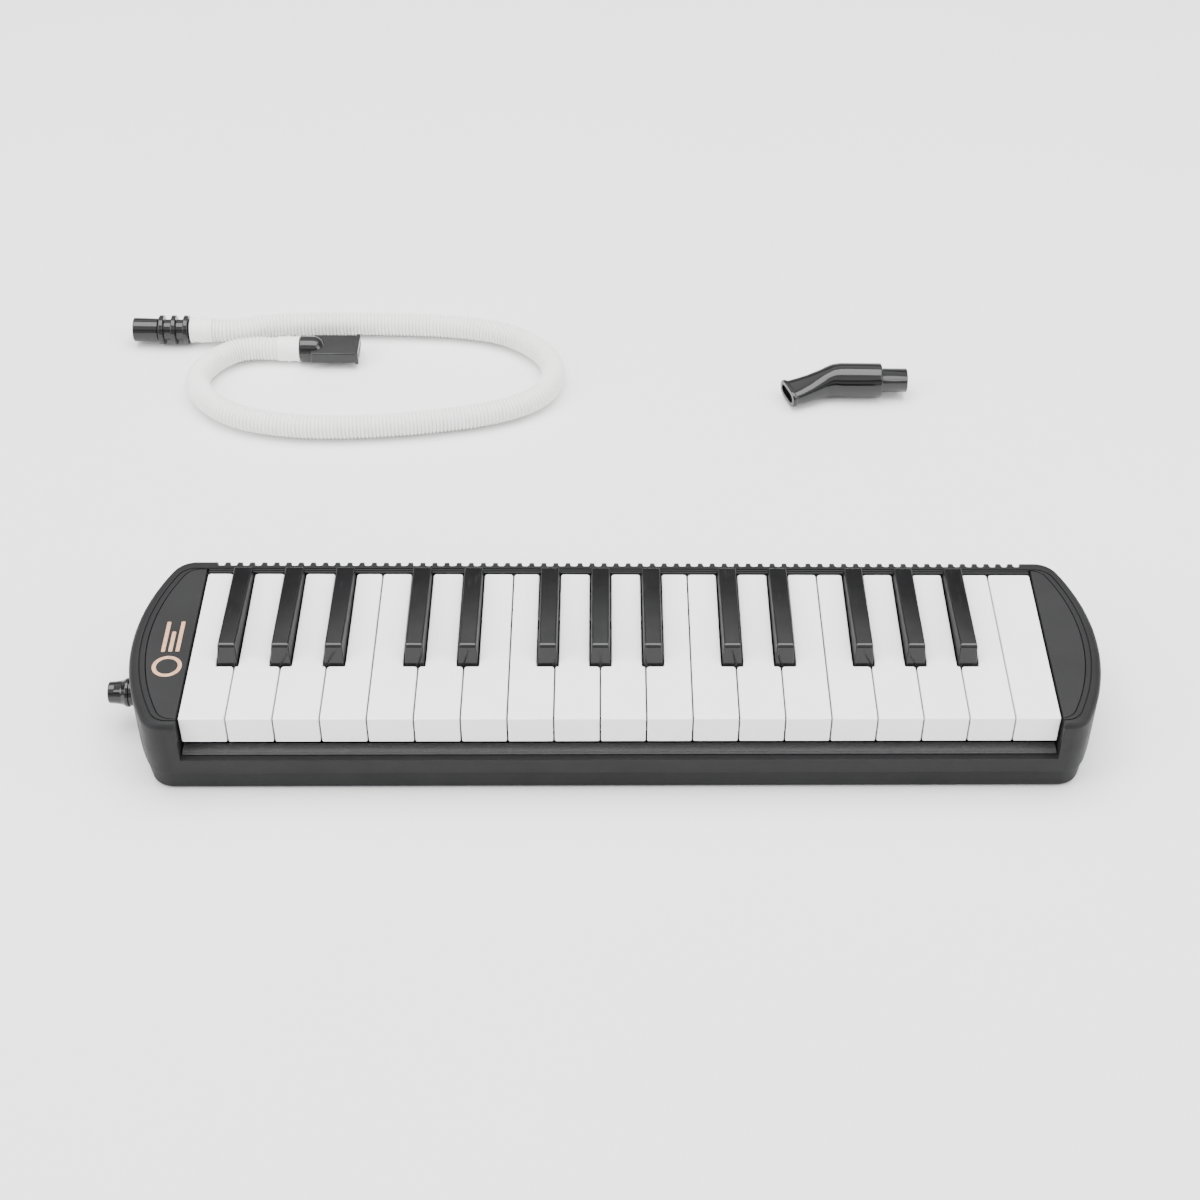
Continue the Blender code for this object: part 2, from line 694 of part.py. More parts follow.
def make_pivot():
    def add_rod(shape):
        add_prism(shape, circle(PIVOT_Y, PIVOT_Z, ROD_RADIUS, 10),
                  -BLOCK_INNER_X - 0.0015, BLOCK_INNER_X + 0.0015, "X")

    piece_from("key_pivot_rod", "steel", add_rod, smooth=True)
    spots = [white_left(i + 1) for i in range(WHITE_COUNT - 1) if sharp_centre(i) is None]

    foot = DECK_Z + GAP

    def add_base(shape):
        add_box(shape, (-CHEST_HALF_LENGTH, PIVOT_Y - 0.0030, foot),
                (CHEST_HALF_LENGTH, PIVOT_Y + 0.0030, foot + 0.0006))

    def add_posts(shape):
        for x in spots:
            add_box(shape, (x - 0.0011, PIVOT_Y - 0.0026, foot + 0.0002),
                    (x + 0.0011, PIVOT_Y + 0.0026, PIVOT_Z + 0.0030))

    def add_holes(shape):
        for x in spots:
            add_prism(shape, circle(PIVOT_Y, PIVOT_Z, ROD_RADIUS + GAP, 10), x - 0.002, x + 0.002, "X")

    brackets = piece_from("pivot_brackets", None, add_base)
    fuse(brackets, add_posts)
    cut(brackets, add_holes)
    tidy(brackets)
    brackets.data.materials.append(surface("pivot_brackets", "casing"))


def make_key_springs():
    """One flat spring under each lever, rising towards the pivot."""
    foot = DECK_Z + GAP
    side = [(0.0040, foot + 0.0001), (0.0060, foot + 0.0001), (0.0150, PIVOT_Z + 0.0003),
            (0.0150, PIVOT_Z + 0.0007), (0.0058, foot + 0.0005), (0.0040, foot + 0.0005)]

    def add_strip(shape):
        add_box(shape, (-CHEST_HALF_LENGTH, -0.0020, foot), (CHEST_HALF_LENGTH, 0.0050, foot + 0.0006))

    def add_fingers(shape):
        for _, _, _, x in key_layout():
            add_prism(shape, side, x - 0.0015, x + 0.0015, "X")

    springs = piece_from("key_springs", None, add_strip)
    fuse(springs, add_fingers)
    tidy(springs)
    springs.data.materials.append(surface("key_springs", "steel"))


# Nipple and drain valve

DRAIN_STEM_RADIUS = 0.0013
DRAIN_HEAD_RADIUS = 0.0038
DRAIN_FACE_X = 0.1984
DRAIN_HEAD_LENGTH = 0.0050
DRAIN_DISC_X = 0.1690


def make_nipple():
    def add_nipple(shape):
        base = -BLOCK_WALL_X - 2 * GAP - SEAL_THICKNESS - NIPPLE_TIP_X
        end = -0.1700 - NIPPLE_TIP_X
        profile = [(0.0, NIPPLE_TIP_RADIUS - 0.0005), (0.0006, NIPPLE_TIP_RADIUS),
                   (0.0050, NIPPLE_TIP_RADIUS + 0.0005), (0.0074, NIPPLE_FLANGE_RADIUS),
                   (0.0086, NIPPLE_FLANGE_RADIUS), (0.0086, NIPPLE_BASE_RADIUS), (base, NIPPLE_BASE_RADIUS),
                   (base, NIPPLE_TUBE_RADIUS), (end, NIPPLE_TUBE_RADIUS),
                   (end, NIPPLE_BORE_RADIUS), (0.0, NIPPLE_BORE_RADIUS)]
        add_turned(shape, profile, (NIPPLE_TIP_X, PORT_Y, PORT_Z), (1, 0, 0), sides=20, closed=True)

    def add_seal(shape):
        inner = NIPPLE_TUBE_RADIUS + GAP
        profile = [(0.0, inner), (0.0, NIPPLE_BASE_RADIUS), (SEAL_THICKNESS, NIPPLE_BASE_RADIUS),
                   (SEAL_THICKNESS, inner)]
        start = (-BLOCK_WALL_X - GAP - SEAL_THICKNESS, PORT_Y, PORT_Z)
        add_turned(shape, profile, start, (1, 0, 0), sides=12, closed=True)

    piece_from("blow_nipple", "black_gloss", add_nipple, smooth=True)
    piece_from("nipple_seal", "rubber", add_seal, smooth=True)


def make_drain_valve():
    head = DRAIN_FACE_X - DRAIN_DISC_X

    def add_button(shape):
        profile = [(0.0, 0.0034), (0.0012, 0.0034), (0.0012, DRAIN_STEM_RADIUS),
                   (head - DRAIN_HEAD_LENGTH, DRAIN_STEM_RADIUS),
                   (head - DRAIN_HEAD_LENGTH, DRAIN_HEAD_RADIUS),
                   (head - 0.0005, DRAIN_HEAD_RADIUS), (head, DRAIN_HEAD_RADIUS - 0.0005)]
        add_turned(shape, profile, (0, 0, 0), (1, 0, 0), sides=12)

    button = piece_from("drain_button", "black_gloss", add_button, smooth=True)
    button.location = (DRAIN_DISC_X, PORT_Y, PORT_Z)

    def add_seal(shape):
        profile = [(0.0, 0.0019), (0.0, 0.0034), (0.0012, 0.0034), (0.0012, 0.0019)]
        add_turned(shape, profile, (DRAIN_DISC_X + 0.0015, PORT_Y, PORT_Z), (1, 0, 0), 12, closed=True)

    piece_from("drain_seal", "rubber", add_seal, smooth=True)

    def add_coil(shape):
        turns, per_turn, wire_sides = 5, 8, 4
        wire, radius = 0.00035, 0.0026
        start = BLOCK_WALL_X + GAP + wire
        end = DRAIN_FACE_X - DRAIN_HEAD_LENGTH - GAP - wire
        rings = []
        for k in range(turns * per_turn + 1):
            angle = 2 * math.pi * k / per_turn
            x = start + (end - start) * k / (turns * per_turn)
            ring = []
            for m in range(wire_sides):
                turn = 2 * math.pi * m / wire_sides
                reach = radius + wire * math.cos(turn)
                ring.append(shape.verts.new((x + wire * math.sin(turn),
                                             PORT_Y + reach * math.cos(angle),
                                             PORT_Z + reach * math.sin(angle))))
            rings.append(ring)
        add_skin(shape, rings, closed=False)

    piece_from("drain_spring", "steel", add_coil, smooth=True)


# Accessories

def oval(half_width, half_height, sides):
    """Rounded oval section, flatter than an ellipse."""
    points = []
    for k in range(sides):
        a = 2 * math.pi * k / sides
        c, s = math.cos(a), math.sin(a)
        points.append((half_width * math.copysign(abs(c) ** 0.8, c),
                       half_height * math.copysign(abs(s) ** 0.8, s)))
    return points


def add_bent_tube(shape, stations, sides):
    """Skin over (x, y, z, heading, half width, half height, wall) stations."""
    outer, inner = [], []
    for x, y, z, heading, width, height, wall in stations:
        across = Vector((-math.sin(heading), math.cos(heading), 0.0))
        centre = Vector((x, y, z))
        for rings, shrink in ((outer, 0.0), (inner, wall)):
            rings.append([shape.verts.new(centre + across * u + Vector((0, 0, v)))
                          for u, v in oval(width - shrink, height - shrink, sides)])
    add_skin(shape, outer + list(reversed(inner)), closed=True)


# Mouthpiece sections from the barrel to the lip: (distance, half width, half height, drop, wall)
MOUTH_ROWS = [(0.0040, 0.0080, 0.0082, 0.0002, 0.0030), (0.0090, 0.0069, 0.0066, 0.0010, 0.0022),
              (0.0160, 0.0071, 0.0050, 0.0020, 0.0016), (0.0270, 0.0079, 0.0036, 0.0030, 0.0013),
              (0.0272, 0.0084, 0.0044, 0.0030, 0.0018), (0.0286, 0.0084, 0.0044, 0.0030, 0.0018)]
BARREL_RADIUS = 0.00865
PLUG_RADIUS = 0.0061
PLUG_LENGTH = 0.0130
BARREL_LENGTH = 0.0206
MOUTH_BEND = math.radians(19)
LIFT = 0.0002


def make_mouthpiece():
    """Push-in plug, round barrel and a flattened mouth end that turns aside."""
    z = BARREL_RADIUS + LIFT
    barrel_end = MOUTHPIECE_LENGTH - PLUG_LENGTH - BARREL_LENGTH
    shoulder = MOUTHPIECE_LENGTH - PLUG_LENGTH
    stations = [(MOUTHPIECE_LENGTH, 0.0, z, 0.0, PLUG_RADIUS, PLUG_RADIUS, 0.0017),
                (shoulder + 0.0002, 0.0, z, 0.0, PLUG_RADIUS, PLUG_RADIUS, 0.0017),
                (shoulder - 0.0002, 0.0, z, 0.0, BARREL_RADIUS, BARREL_RADIUS, 0.0038),
                (barrel_end, 0.0, z, 0.0, BARREL_RADIUS, BARREL_RADIUS, 0.0034)]
    x, y, done = barrel_end, 0.0, 0.0
    for distance, width, height, drop, wall in MOUTH_ROWS:
        heading = MOUTH_BEND * min(1.0, distance / 0.0090)
        x -= (distance - done) * math.cos(heading)
        y -= (distance - done) * math.sin(heading)
        done = distance
        stations.append((x, y, z - drop, heading, width, height, wall))
    piece = piece_from("mouthpiece", "black_gloss", lambda s: add_bent_tube(s, stations, 16), smooth=True)
    piece.location = (MOUTHPIECE_X, MOUTHPIECE_Y, 0.0)


# The hose lies flat in one open loop; points are (along X, along Y) in metres.
HOSE_ROUTE = [(-0.0905, 0.0462), (-0.0830, 0.0462), (-0.0745, 0.0475), (-0.0610, 0.0515),
              (-0.0430, 0.0533), (-0.0150, 0.0544), (0.0120, 0.0538), (0.0350, 0.0520),
              (0.0560, 0.0470), (0.0700, 0.0385), (0.0805, 0.0265), (0.0845, 0.0120),
              (0.0805, -0.0035), (0.0690, -0.0145), (0.0520, -0.0220), (0.0340, -0.0265),
              (0.0110, -0.0305), (-0.0160, -0.0330), (-0.0400, -0.0325), (-0.0620, -0.0280),
              (-0.0780, -0.0195), (-0.0890, -0.0070), (-0.0925, 0.0060), (-0.0880, 0.0185),
              (-0.0785, 0.0285), (-0.0680, 0.0318), (-0.0560, 0.0318)]
HOSE_POINTS = 36
CONNECTOR_LENGTH = 0.0285
CONNECTOR_Z = 0.0078
HOSE_Z = 0.0067
CUFF_LENGTH = 0.0110


def smooth_route(points, count):
    """Evenly spaced points along the smooth curve through the route's points."""
    route = [Vector((x, y, 0.0)) for x, y in points]
    padded = [2 * route[0] - route[1]] + route + [2 * route[-1] - route[-2]]
    fine = []
    for a, b, c, d in zip(padded, padded[1:], padded[2:], padded[3:]):
        for k in range(12):
            t = k / 12
            fine.append(0.5 * (2 * b + (c - a) * t + (2 * a - 5 * b + 4 * c - d) * t * t
                               + (3 * b - a - 3 * c + d) * t ** 3))
    fine.append(route[-1])
    reach = [0.0]
    for first, second in zip(fine, fine[1:]):
        reach.append(reach[-1] + (second - first).length)
    spaced, j = [], 0
    for k in range(count):
        wanted = reach[-1] * k / (count - 1)
        while j < len(fine) - 2 and reach[j + 1] < wanted:
            j += 1
        part = (wanted - reach[j]) / (reach[j + 1] - reach[j])
        spaced.append(fine[j].lerp(fine[j + 1], part))
    return spaced


def hose_points():
    """The hose's centre line, lifted at its start by the connector's ribs."""
    points = []
    for k, place in enumerate(smooth_route(HOSE_ROUTE, HOSE_POINTS)):
        fall = min(1.0, k / 6)
        height = CONNECTOR_Z + (HOSE_Z - CONNECTOR_Z) * fall * fall * (3 - 2 * fall)
        points.append(place + Vector((*HOSE_CENTRE, height)))
    return points


def make_hose():
    points = hose_points()
    curve = bpy.data.curves.new("hose_tube", "CURVE")
    curve.dimensions = "3D"
    spline = curve.splines.new("POLY")
    spline.points.add(len(points) - 1)
    for knot, place in zip(spline.points, points):
        knot.co = (*place, 1.0)
    curve.bevel_depth = HOSE_RADIUS
    curve.bevel_resolution = 2
    curve.use_fill_caps = True
    curve.materials.append(surface("hose_tube", "hose"))
    hose = bpy.data.objects.new("hose_tube", curve)
    bpy.context.scene.collection.objects.link(hose)


def add_cuff(shape, start, direction):
    ridge = CUFF_RADIUS + 0.0003
    half = CUFF_LENGTH / 2
    profile = [(0.0, CUFF_RADIUS), (half - 0.0008, CUFF_RADIUS), (half - 0.0004, ridge),
               (half + 0.0004, ridge), (half + 0.0008, CUFF_RADIUS), (CUFF_LENGTH, CUFF_RADIUS),
               (CUFF_LENGTH, 0.0042), (0.0, 0.0042)]
    add_turned(shape, profile, start, direction, closed=True)


def make_hose_ends():
    """Cuffs, connector and mouth tip; the connector points to -X, the tip to +X."""
    points = hose_points()
    left, right = Vector((-1, 0, 0)), Vector((1, 0, 0))
    first, last = points[0], points[-1]
    piece_from("hose_cuff_inlet", "hose", lambda s: add_cuff(s, first + left * GAP, left), smooth=True)
    piece_from("hose_cuff_mouth", "hose", lambda s: add_cuff(s, last + right * GAP, right), smooth=True)

    def add_connector(shape):
        neck, rib, sleeve = 0.0050, 0.0076, 0.0060
        profile = [(0.0, neck)]
        for k in range(3):
            at = 0.0004 + 0.0062 * k
            profile += [(at, neck), (at + 0.0006, rib), (at + 0.0018, rib), (at + 0.0024, neck)]
        profile += [(0.0152, sleeve), (CONNECTOR_LENGTH, sleeve), (CONNECTOR_LENGTH, 0.0047),
                    (0.0135, 0.0046), (0.0130, 0.0034), (0.0, 0.0034)]
        start = first + left * (CUFF_LENGTH + 2 * GAP)
        add_turned(shape, profile, start, left, sides=14, closed=True)

    piece_from("hose_connector", "black_gloss", add_connector, smooth=True)
    make_mouth_tip(last + right * (CUFF_LENGTH + 2 * GAP))


TIP_RADIUS = 0.0065
TIP_SOCKET = 0.0127
BLADE_START = 0.0055
BLADE_END = 0.0297
BLADE_HALF_WIDTH = 0.0084
BLADE_HALF_HEIGHT = 0.0030
LIP_HALF_HEIGHT = 0.0036


def make_mouth_tip(start):
    """Domed round socket on a flat blade for the mouth."""
    def add_socket(shape):
        profile = [(0.0, TIP_RADIUS), (0.0075, TIP_RADIUS), (0.0103, TIP_RADIUS * 0.87),
                   (0.0120, TIP_RADIUS * 0.55), (TIP_SOCKET, 0.0004)]
        add_turned(shape, profile, start, (1, 0, 0), sides=16)

    def add_blade(shape):
        side = [(BLADE_START, 0.0022), (0.0085, BLADE_HALF_HEIGHT), (BLADE_END - 0.0022, 0.0026),
                (BLADE_END - 0.0018, LIP_HALF_HEIGHT), (BLADE_END, LIP_HALF_HEIGHT)]
        outline = side + [(u, -v) for u, v in reversed(side)]
        add_prism(shape, [(start.x + u, start.z + v) for u, v in outline],
                  start.y - BLADE_HALF_WIDTH, start.y + BLADE_HALF_WIDTH, "Y")

    def add_bores(shape):
        profile = [(-0.001, 0.0042), (0.0090, 0.0042)]
        add_turned(shape, profile, start, (1, 0, 0), sides=12)

    def add_slot(shape):
        add_box(shape, (start.x + 0.0080, start.y - 0.0066, start.z - 0.0012),
                (start.x + BLADE_END + 0.001, start.y + 0.0066, start.z + 0.0012))

    tip = piece_from("hose_mouth_tip", None, add_socket)
    fuse(tip, add_blade)
    cut(tip, add_bores)
    cut(tip, add_slot)
    tidy(tip)
    tip.data.materials.append(surface("hose_mouth_tip", "black_gloss"))
    tip.data.shade_smooth()
    tip.data.set_sharp_from_angle(angle=math.radians(35))


def main():
    clear_scene()
    make_lower_casing()
    make_upper_casing()
    make_end_panels()
    make_casing_screws()
    make_stop_felt()
    make_wind_chest()
    make_gasket()
    make_cover()
    make_reed_plate()
    make_reeds()
    make_pivot()
    make_key_springs()
    make_nipple()
    make_drain_valve()
    make_keys()
    make_mouthpiece()
    make_hose()
    make_hose_ends()


main()
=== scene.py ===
"""Finished look of a 32-key melodica with its mouthpiece and its blowing hose.

Units are metres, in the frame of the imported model: X runs along the keyboard
from low to high notes, the player sits at -Y, and +Z is up.
"""
import math

import bmesh
import bpy
from mathutils import Matrix, Vector


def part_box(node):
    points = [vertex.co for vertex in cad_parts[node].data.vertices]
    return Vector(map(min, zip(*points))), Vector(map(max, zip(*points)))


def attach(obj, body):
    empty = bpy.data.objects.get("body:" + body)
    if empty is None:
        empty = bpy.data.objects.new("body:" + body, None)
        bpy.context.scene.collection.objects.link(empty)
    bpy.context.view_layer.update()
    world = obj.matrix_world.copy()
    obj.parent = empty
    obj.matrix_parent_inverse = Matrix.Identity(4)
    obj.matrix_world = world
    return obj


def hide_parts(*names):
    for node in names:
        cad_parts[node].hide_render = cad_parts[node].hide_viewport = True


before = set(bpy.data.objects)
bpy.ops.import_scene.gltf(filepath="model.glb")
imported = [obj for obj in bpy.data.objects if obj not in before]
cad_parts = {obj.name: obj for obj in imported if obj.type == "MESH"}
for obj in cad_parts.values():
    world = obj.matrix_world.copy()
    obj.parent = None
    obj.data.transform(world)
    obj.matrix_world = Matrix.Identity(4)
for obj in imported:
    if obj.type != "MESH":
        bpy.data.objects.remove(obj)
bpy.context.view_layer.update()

# Sizes shared with the model
WHITE_PITCH = 0.0186
WHITE_COUNT = 19
KEYBOARD_HALF = WHITE_PITCH * WHITE_COUNT / 2
KEY_GAP = 0.0006
FIRST_WHITE = 3                       # F, counting C as 0
FIRST_OCTAVE = 3
NOTES = ("C", "D", "E", "F", "G", "A", "B")
SHARP_AFTER = {0: -0.0016, 1: 0.0016, 3: -0.0030, 4: 0.0, 5: 0.0030}
KEY_FRONT_Y = -0.0470
KEY_BACK_Y = 0.0400
WHITE_TOP_Z = 0.0370
PLATE_THICKNESS = 0.0027
PLATE_LOW_Z = WHITE_TOP_Z - PLATE_THICKNESS
LEVER_TOP_Z = PLATE_LOW_Z + 0.0010
LIP_DROP = 0.0130
LIP_THICKNESS = 0.0021
LIP_BACK_Y = KEY_FRONT_Y + LIP_THICKNESS
BLACK_WIDTH = 0.0085
BLACK_DRAFT = 0.095
BLACK_FRONT_Y = -0.0159
BLACK_FRONT_TOP_Z = 0.0453
BLACK_BACK_TOP_Z = 0.0412
BLACK_SLANT = 0.0030
BLACK_CLEARANCE = 0.00035
BLACK_FRONT_CLEARANCE = 0.00085
PIVOT_Y = 0.0240
PIVOT_Z = 0.0262
ROD_HOLE_RADIUS = 0.00155
HUB_RADIUS = 0.0029
WEB_WIDTH = 0.0040
PAD_Y = 0.0380
PAD_LENGTH = 0.0086
PAD_WIDTH = 0.0078
PAD_THICKNESS = 0.0015
DECK_Z = 0.0222
GAP = 0.0003

BODY_FRONT_Y = -0.0512
BODY_REAR_Y = 0.0484
LEFT_END_X = -0.2020
RIGHT_END_X = 0.1994
END_CENTRE_Y = -0.0016
END_RADIUS = 0.1000
CORNER_RADIUS = 0.0110
CASING_TOP_Z = 0.0375
SPLIT_Z = 0.0100
WALL = 0.0025
FLOOR = 0.0020
BLOCK_INNER_X = KEYBOARD_HALF + 0.0006
BLOCK_WALL_X = BLOCK_INNER_X + WALL
RAIL_FRONT_Y = 0.0403
RAIL_UNDERSIDE_Z = 0.0325
FRONT_BEAM_Y = -0.0425
FRONT_BEAM_TOP_Z = 0.0177
PANEL_THICKNESS = 0.0015
SLOT_PITCH = 0.0052
SLOT_WIDTH = 0.0028
SLOT_FRONT_Y = 0.0447
SCREW_SPOTS = ((-0.188, -0.0300), (-0.188, 0.0300), (0.186, -0.0300), (0.186, 0.0300))
BOSS_RADIUS = 0.0042
SCREW_HEAD_RADIUS = 0.0028
SCREW_BORE_RADIUS = 0.0016

PORT_Y = -0.0112
PORT_Z = 0.0165
NIPPLE_TIP_X = -0.2124

HOSE_CENTRE = (-0.1180, 0.2150)
HOSE_RADIUS = 0.0060
CUFF_RADIUS = 0.00625
CUFF_LENGTH = 0.0110
CONNECTOR_LENGTH = 0.0285
CONNECTOR_Z = 0.0078
HOSE_Z = 0.0067
HOSE_FALL = 6 / 35                    # share of the length over which it comes down
HOSE_ROUTE = [(-0.0905, 0.0462), (-0.0830, 0.0462), (-0.0745, 0.0475), (-0.0610, 0.0515),
              (-0.0430, 0.0533), (-0.0150, 0.0544), (0.0120, 0.0538), (0.0350, 0.0520),
              (0.0560, 0.0470), (0.0700, 0.0385), (0.0805, 0.0265), (0.0845, 0.0120),
              (0.0805, -0.0035), (0.0690, -0.0145), (0.0520, -0.0220), (0.0340, -0.0265),
              (0.0110, -0.0305), (-0.0160, -0.0330), (-0.0400, -0.0325), (-0.0620, -0.0280),
              (-0.0780, -0.0195), (-0.0890, -0.0070), (-0.0925, 0.0060), (-0.0880, 0.0185),
              (-0.0785, 0.0285), (-0.0680, 0.0318), (-0.0560, 0.0318)]
MOUTHPIECE_X = 0.0830
MOUTHPIECE_Y = 0.2200
MOUTHPIECE_LENGTH = 0.0622
BARREL_RADIUS = 0.00865
BARREL_LENGTH = 0.0206
PLUG_RADIUS = 0.0061
PLUG_LENGTH = 0.0130
MOUTH_BEND = math.radians(19)
LIFT = 0.0002


# Camera

def object_of(name, data):
    """Put a mesh, camera or lamp in the scene."""
    made = bpy.data.objects.new(name, data)
    bpy.context.scene.collection.objects.link(made)
    return made


def add_camera():
    camera = bpy.data.cameras.new("camera")
    camera.sensor_width = 36.0
    camera.lens = 62.365
    camera.shift_x = -0.0776
    camera.shift_y = -0.0083
    camera.clip_start = 0.01
    holder = object_of("camera", camera)
    turn = Matrix.Rotation(math.radians(-3.384), 4, "Z")
    fall = Matrix.Rotation(math.radians(47.985), 4, "X")
    roll = Matrix.Rotation(math.radians(2.362), 4, "Z")
    holder.matrix_world = Matrix.Translation((-0.00876, -0.62898, 0.63161)) @ turn @ fall @ roll
    bpy.context.scene.camera = holder


# Node materials

class Finish:
    """A Principled material whose colour, roughness and bump come from nodes."""

    def __init__(self, name, roughness=0.5, metallic=0.0):
        self.material = bpy.data.materials.new(name)
        self.material.use_nodes = True
        self.tree = self.material.node_tree
        self.shader = self.tree.nodes["Principled BSDF"]
        self.set(Roughness=roughness, Metallic=metallic)
        self.place = self.node("ShaderNodeTexCoord").outputs["Object"]

    def feed(self, socket, value):
        """Link an output to an input, or give the input a value."""
        if isinstance(value, bpy.types.NodeSocket):
            self.tree.links.new(value, socket)
        else:
            socket.default_value = value

    def node(self, kind, **inputs):
        made = self.tree.nodes.new(kind)
        for key, value in inputs.items():
            self.feed(made.inputs[key.replace("_", " ")], value)
        return made

    def set(self, **values):
        for key, value in values.items():
            self.feed(self.shader.inputs[key.replace("_", " ")], value)
        return self

    def noise(self, scale, detail=3.0, roughness=0.55, stretch=(1, 1, 1)):
        """Noise with scale cells per metre, stretched along an axis by a small factor there."""
        place = self.place
        if stretch != (1, 1, 1):
            place = self.node("ShaderNodeMapping", Vector=place, Scale=stretch).outputs[0]
        return self.node("ShaderNodeTexNoise", Vector=place, Scale=scale, Detail=detail,
                         Roughness=roughness).outputs["Fac"]

    def span(self, value, low, high, start=0.3, end=0.7):
        """Map value from start..end to low..high."""
        return self.node("ShaderNodeMapRange", Value=value, From_Min=start, From_Max=end,
                         To_Min=low, To_Max=high).outputs["Result"]

    def blend(self, share, first, second):
        """Colour mix; first and second are colours or sockets."""
        mix = self.node("ShaderNodeMix")
        mix.data_type = "RGBA"
        for place, value in ((0, share), (6, first), (7, second)):
            self.feed(mix.inputs[place], (*value, 1.0) if isinstance(value, tuple) else value)
        return mix.outputs[2]

    def mottle(self, first, second, scale, detail=3.0):
        """Two colours in soft patches."""
        return self.blend(self.span(self.noise(scale, detail), 0.0, 1.0), first, second)

    def add(self, first, second, operation="ADD"):
        """Sum of two values, or another operation on them."""
        made = self.node("ShaderNodeMath")
        made.operation = operation
        self.feed(made.inputs[0], first)
        self.feed(made.inputs[1], second)
        return made.outputs[0]

    def colour(self, value):
        return self.set(Base_Color=value)

    def rough(self, value):
        return self.set(Roughness=value)

    def bump(self, *layers):
        """Stack (height, distance in metres) layers of bump."""
        normal = None
        for height, distance in layers:
            made = self.node("ShaderNodeBump", Height=height, Strength=1.0, Distance=distance)
            if normal is not None:
                self.feed(made.inputs["Normal"], normal)
            normal = made.outputs["Normal"]
        return self.set(Normal=normal)

    def convexity(self, low, high, start, end):
        """Map how convex the surface is from start..end to low..high."""
        pointiness = self.node("ShaderNodeNewGeometry").outputs["Pointiness"]
        return self.span(pointiness, low, high, start, end)


def toned(colour, factor):
    return tuple(c * factor for c in colour)


def matte_plastic(name, colour, roughness, grain=0.000035):
    """Fine-grained moulding, a little smoother where it is handled; its convex edges are lighter, partly as
    edge wear and partly as a painted edge highlight.
    """
    finish = Finish(name).set(Specular_IOR_Level=0.14)
    light = toned(colour, 1.22)
    tone = finish.mottle(toned(colour, 0.82), light, 26.0)
    speck = finish.span(finish.noise(2600.0, detail=2.0), 0.0, 1.0, 0.35, 0.75)
    tone = finish.blend(finish.add(speck, 0.35, "MULTIPLY"), tone, light)
    # Convex edges lightened: partly edge wear, partly a painted highlight along the rims.
    edge_wear_and_highlight = finish.convexity(0.0, 1.0, 0.51, 0.56)
    tone = finish.blend(finish.add(edge_wear_and_highlight, 0.5, "MULTIPLY"), tone, toned(colour, 1.9))
    rub = finish.span(finish.noise(60.0, detail=5.0), roughness - 0.06, roughness + 0.07)
    return finish.colour(tone).rough(rub).bump(
        (finish.noise(1500.0), grain), (finish.noise(160.0, detail=2.0), 0.00003)).material


def gloss_plastic(name, colour, roughness, spread, satin_flanks=False):
    """Polished moulding with faint flow ripples, hairline scratches and handling haze."""
    finish = Finish(name)
    tone = finish.mottle(colour, toned(colour, 1 - spread), 35.0, 4.0)
    haze = finish.span(finish.noise(70.0, detail=6.0, roughness=0.7), roughness * 0.75, roughness * 1.35)
    scratches = finish.noise(900.0, detail=4.0, stretch=(1.0, 0.06, 1.0))
    scratched = finish.span(scratches, 0.0, 0.10, 0.62, 0.72)
    if satin_flanks:
        normal = finish.node("ShaderNodeNewGeometry").outputs["Normal"]
        along_keys = finish.node("ShaderNodeSeparateXYZ", Vector=normal).outputs["X"]
        sideways = finish.add(along_keys, 0.0, "ABSOLUTE")
        haze = finish.add(haze, finish.span(sideways, 0.0, 0.35, 0.45, 0.85))
        finish.set(Specular_IOR_Level=finish.span(sideways, 0.5, 0.06, 0.45, 0.85))
    return finish.colour(tone).rough(finish.add(haze, scratched)).bump(
        (finish.noise(55.0, detail=1.0), 0.00002), (scratches, 0.0000025)).material


def hose_plastic():
    """Milky polyethylene: soft, slightly waxy, with painted shade darkening the valleys between its ribs."""
    finish = Finish("hose_plastic").set(Subsurface_Weight=0.12, Subsurface_Scale=0.003,
                                        Subsurface_Radius=(1.0, 0.9, 0.8), IOR=1.5)
    tone = finish.mottle((0.90, 0.90, 0.885), (0.83, 0.83, 0.81), 30.0)
    # Painted shade: the concave valleys between the ribs are darkened towards grey.
    valley = finish.convexity(1.0, 0.0, 0.44, 0.50)
    tone = finish.blend(finish.add(valley, 0.75, "MULTIPLY"), tone, (0.50, 0.495, 0.48))
    rub = finish.span(finish.noise(90.0, detail=4.0), 0.34, 0.50)
    return finish.colour(tone).rough(rub).bump((finish.noise(700.0), 0.00003)).material


def metal(name, colour):
    """Rolled or drawn metal: fine lines along one axis, slightly uneven tone."""
    finish = Finish(name, metallic=1.0)
    tone = finish.mottle(colour, toned(colour, 0.78), 45.0, 4.0)
    lines = finish.noise(2200.0, stretch=(0.04, 1.0, 1.0))
    return finish.colour(tone).rough(finish.span(lines, 0.22, 0.42)).bump((lines, 0.000006)).material


def rubber():
    finish = Finish("rubber").set(Specular_IOR_Level=0.35)
    tone = finish.mottle((0.020, 0.020, 0.020), (0.040, 0.039, 0.037), 60.0)
    rub = finish.span(finish.noise(200.0, detail=4.0), 0.68, 0.86)
    return finish.colour(tone).rough(rub).bump((finish.noise(1800.0), 0.00004)).material


def felt(name, dark, light):
    """Pressed wool: matted fibres with a soft sheen."""
    finish = Finish(name, roughness=0.95).set(Sheen_Weight=0.45, Sheen_Roughness=0.6, Specular_IOR_Level=0.15)
    fibres = finish.noise(1400.0, detail=6.0, roughness=0.75)
    cross = finish.noise(2600.0, detail=4.0, roughness=0.7, stretch=(0.25, 1.0, 1.0))
    tone = finish.blend(finish.span(fibres, 0.0, 1.0), dark, light)
    return finish.colour(tone).bump((fibres, 0.00018), (cross, 0.00010)).material


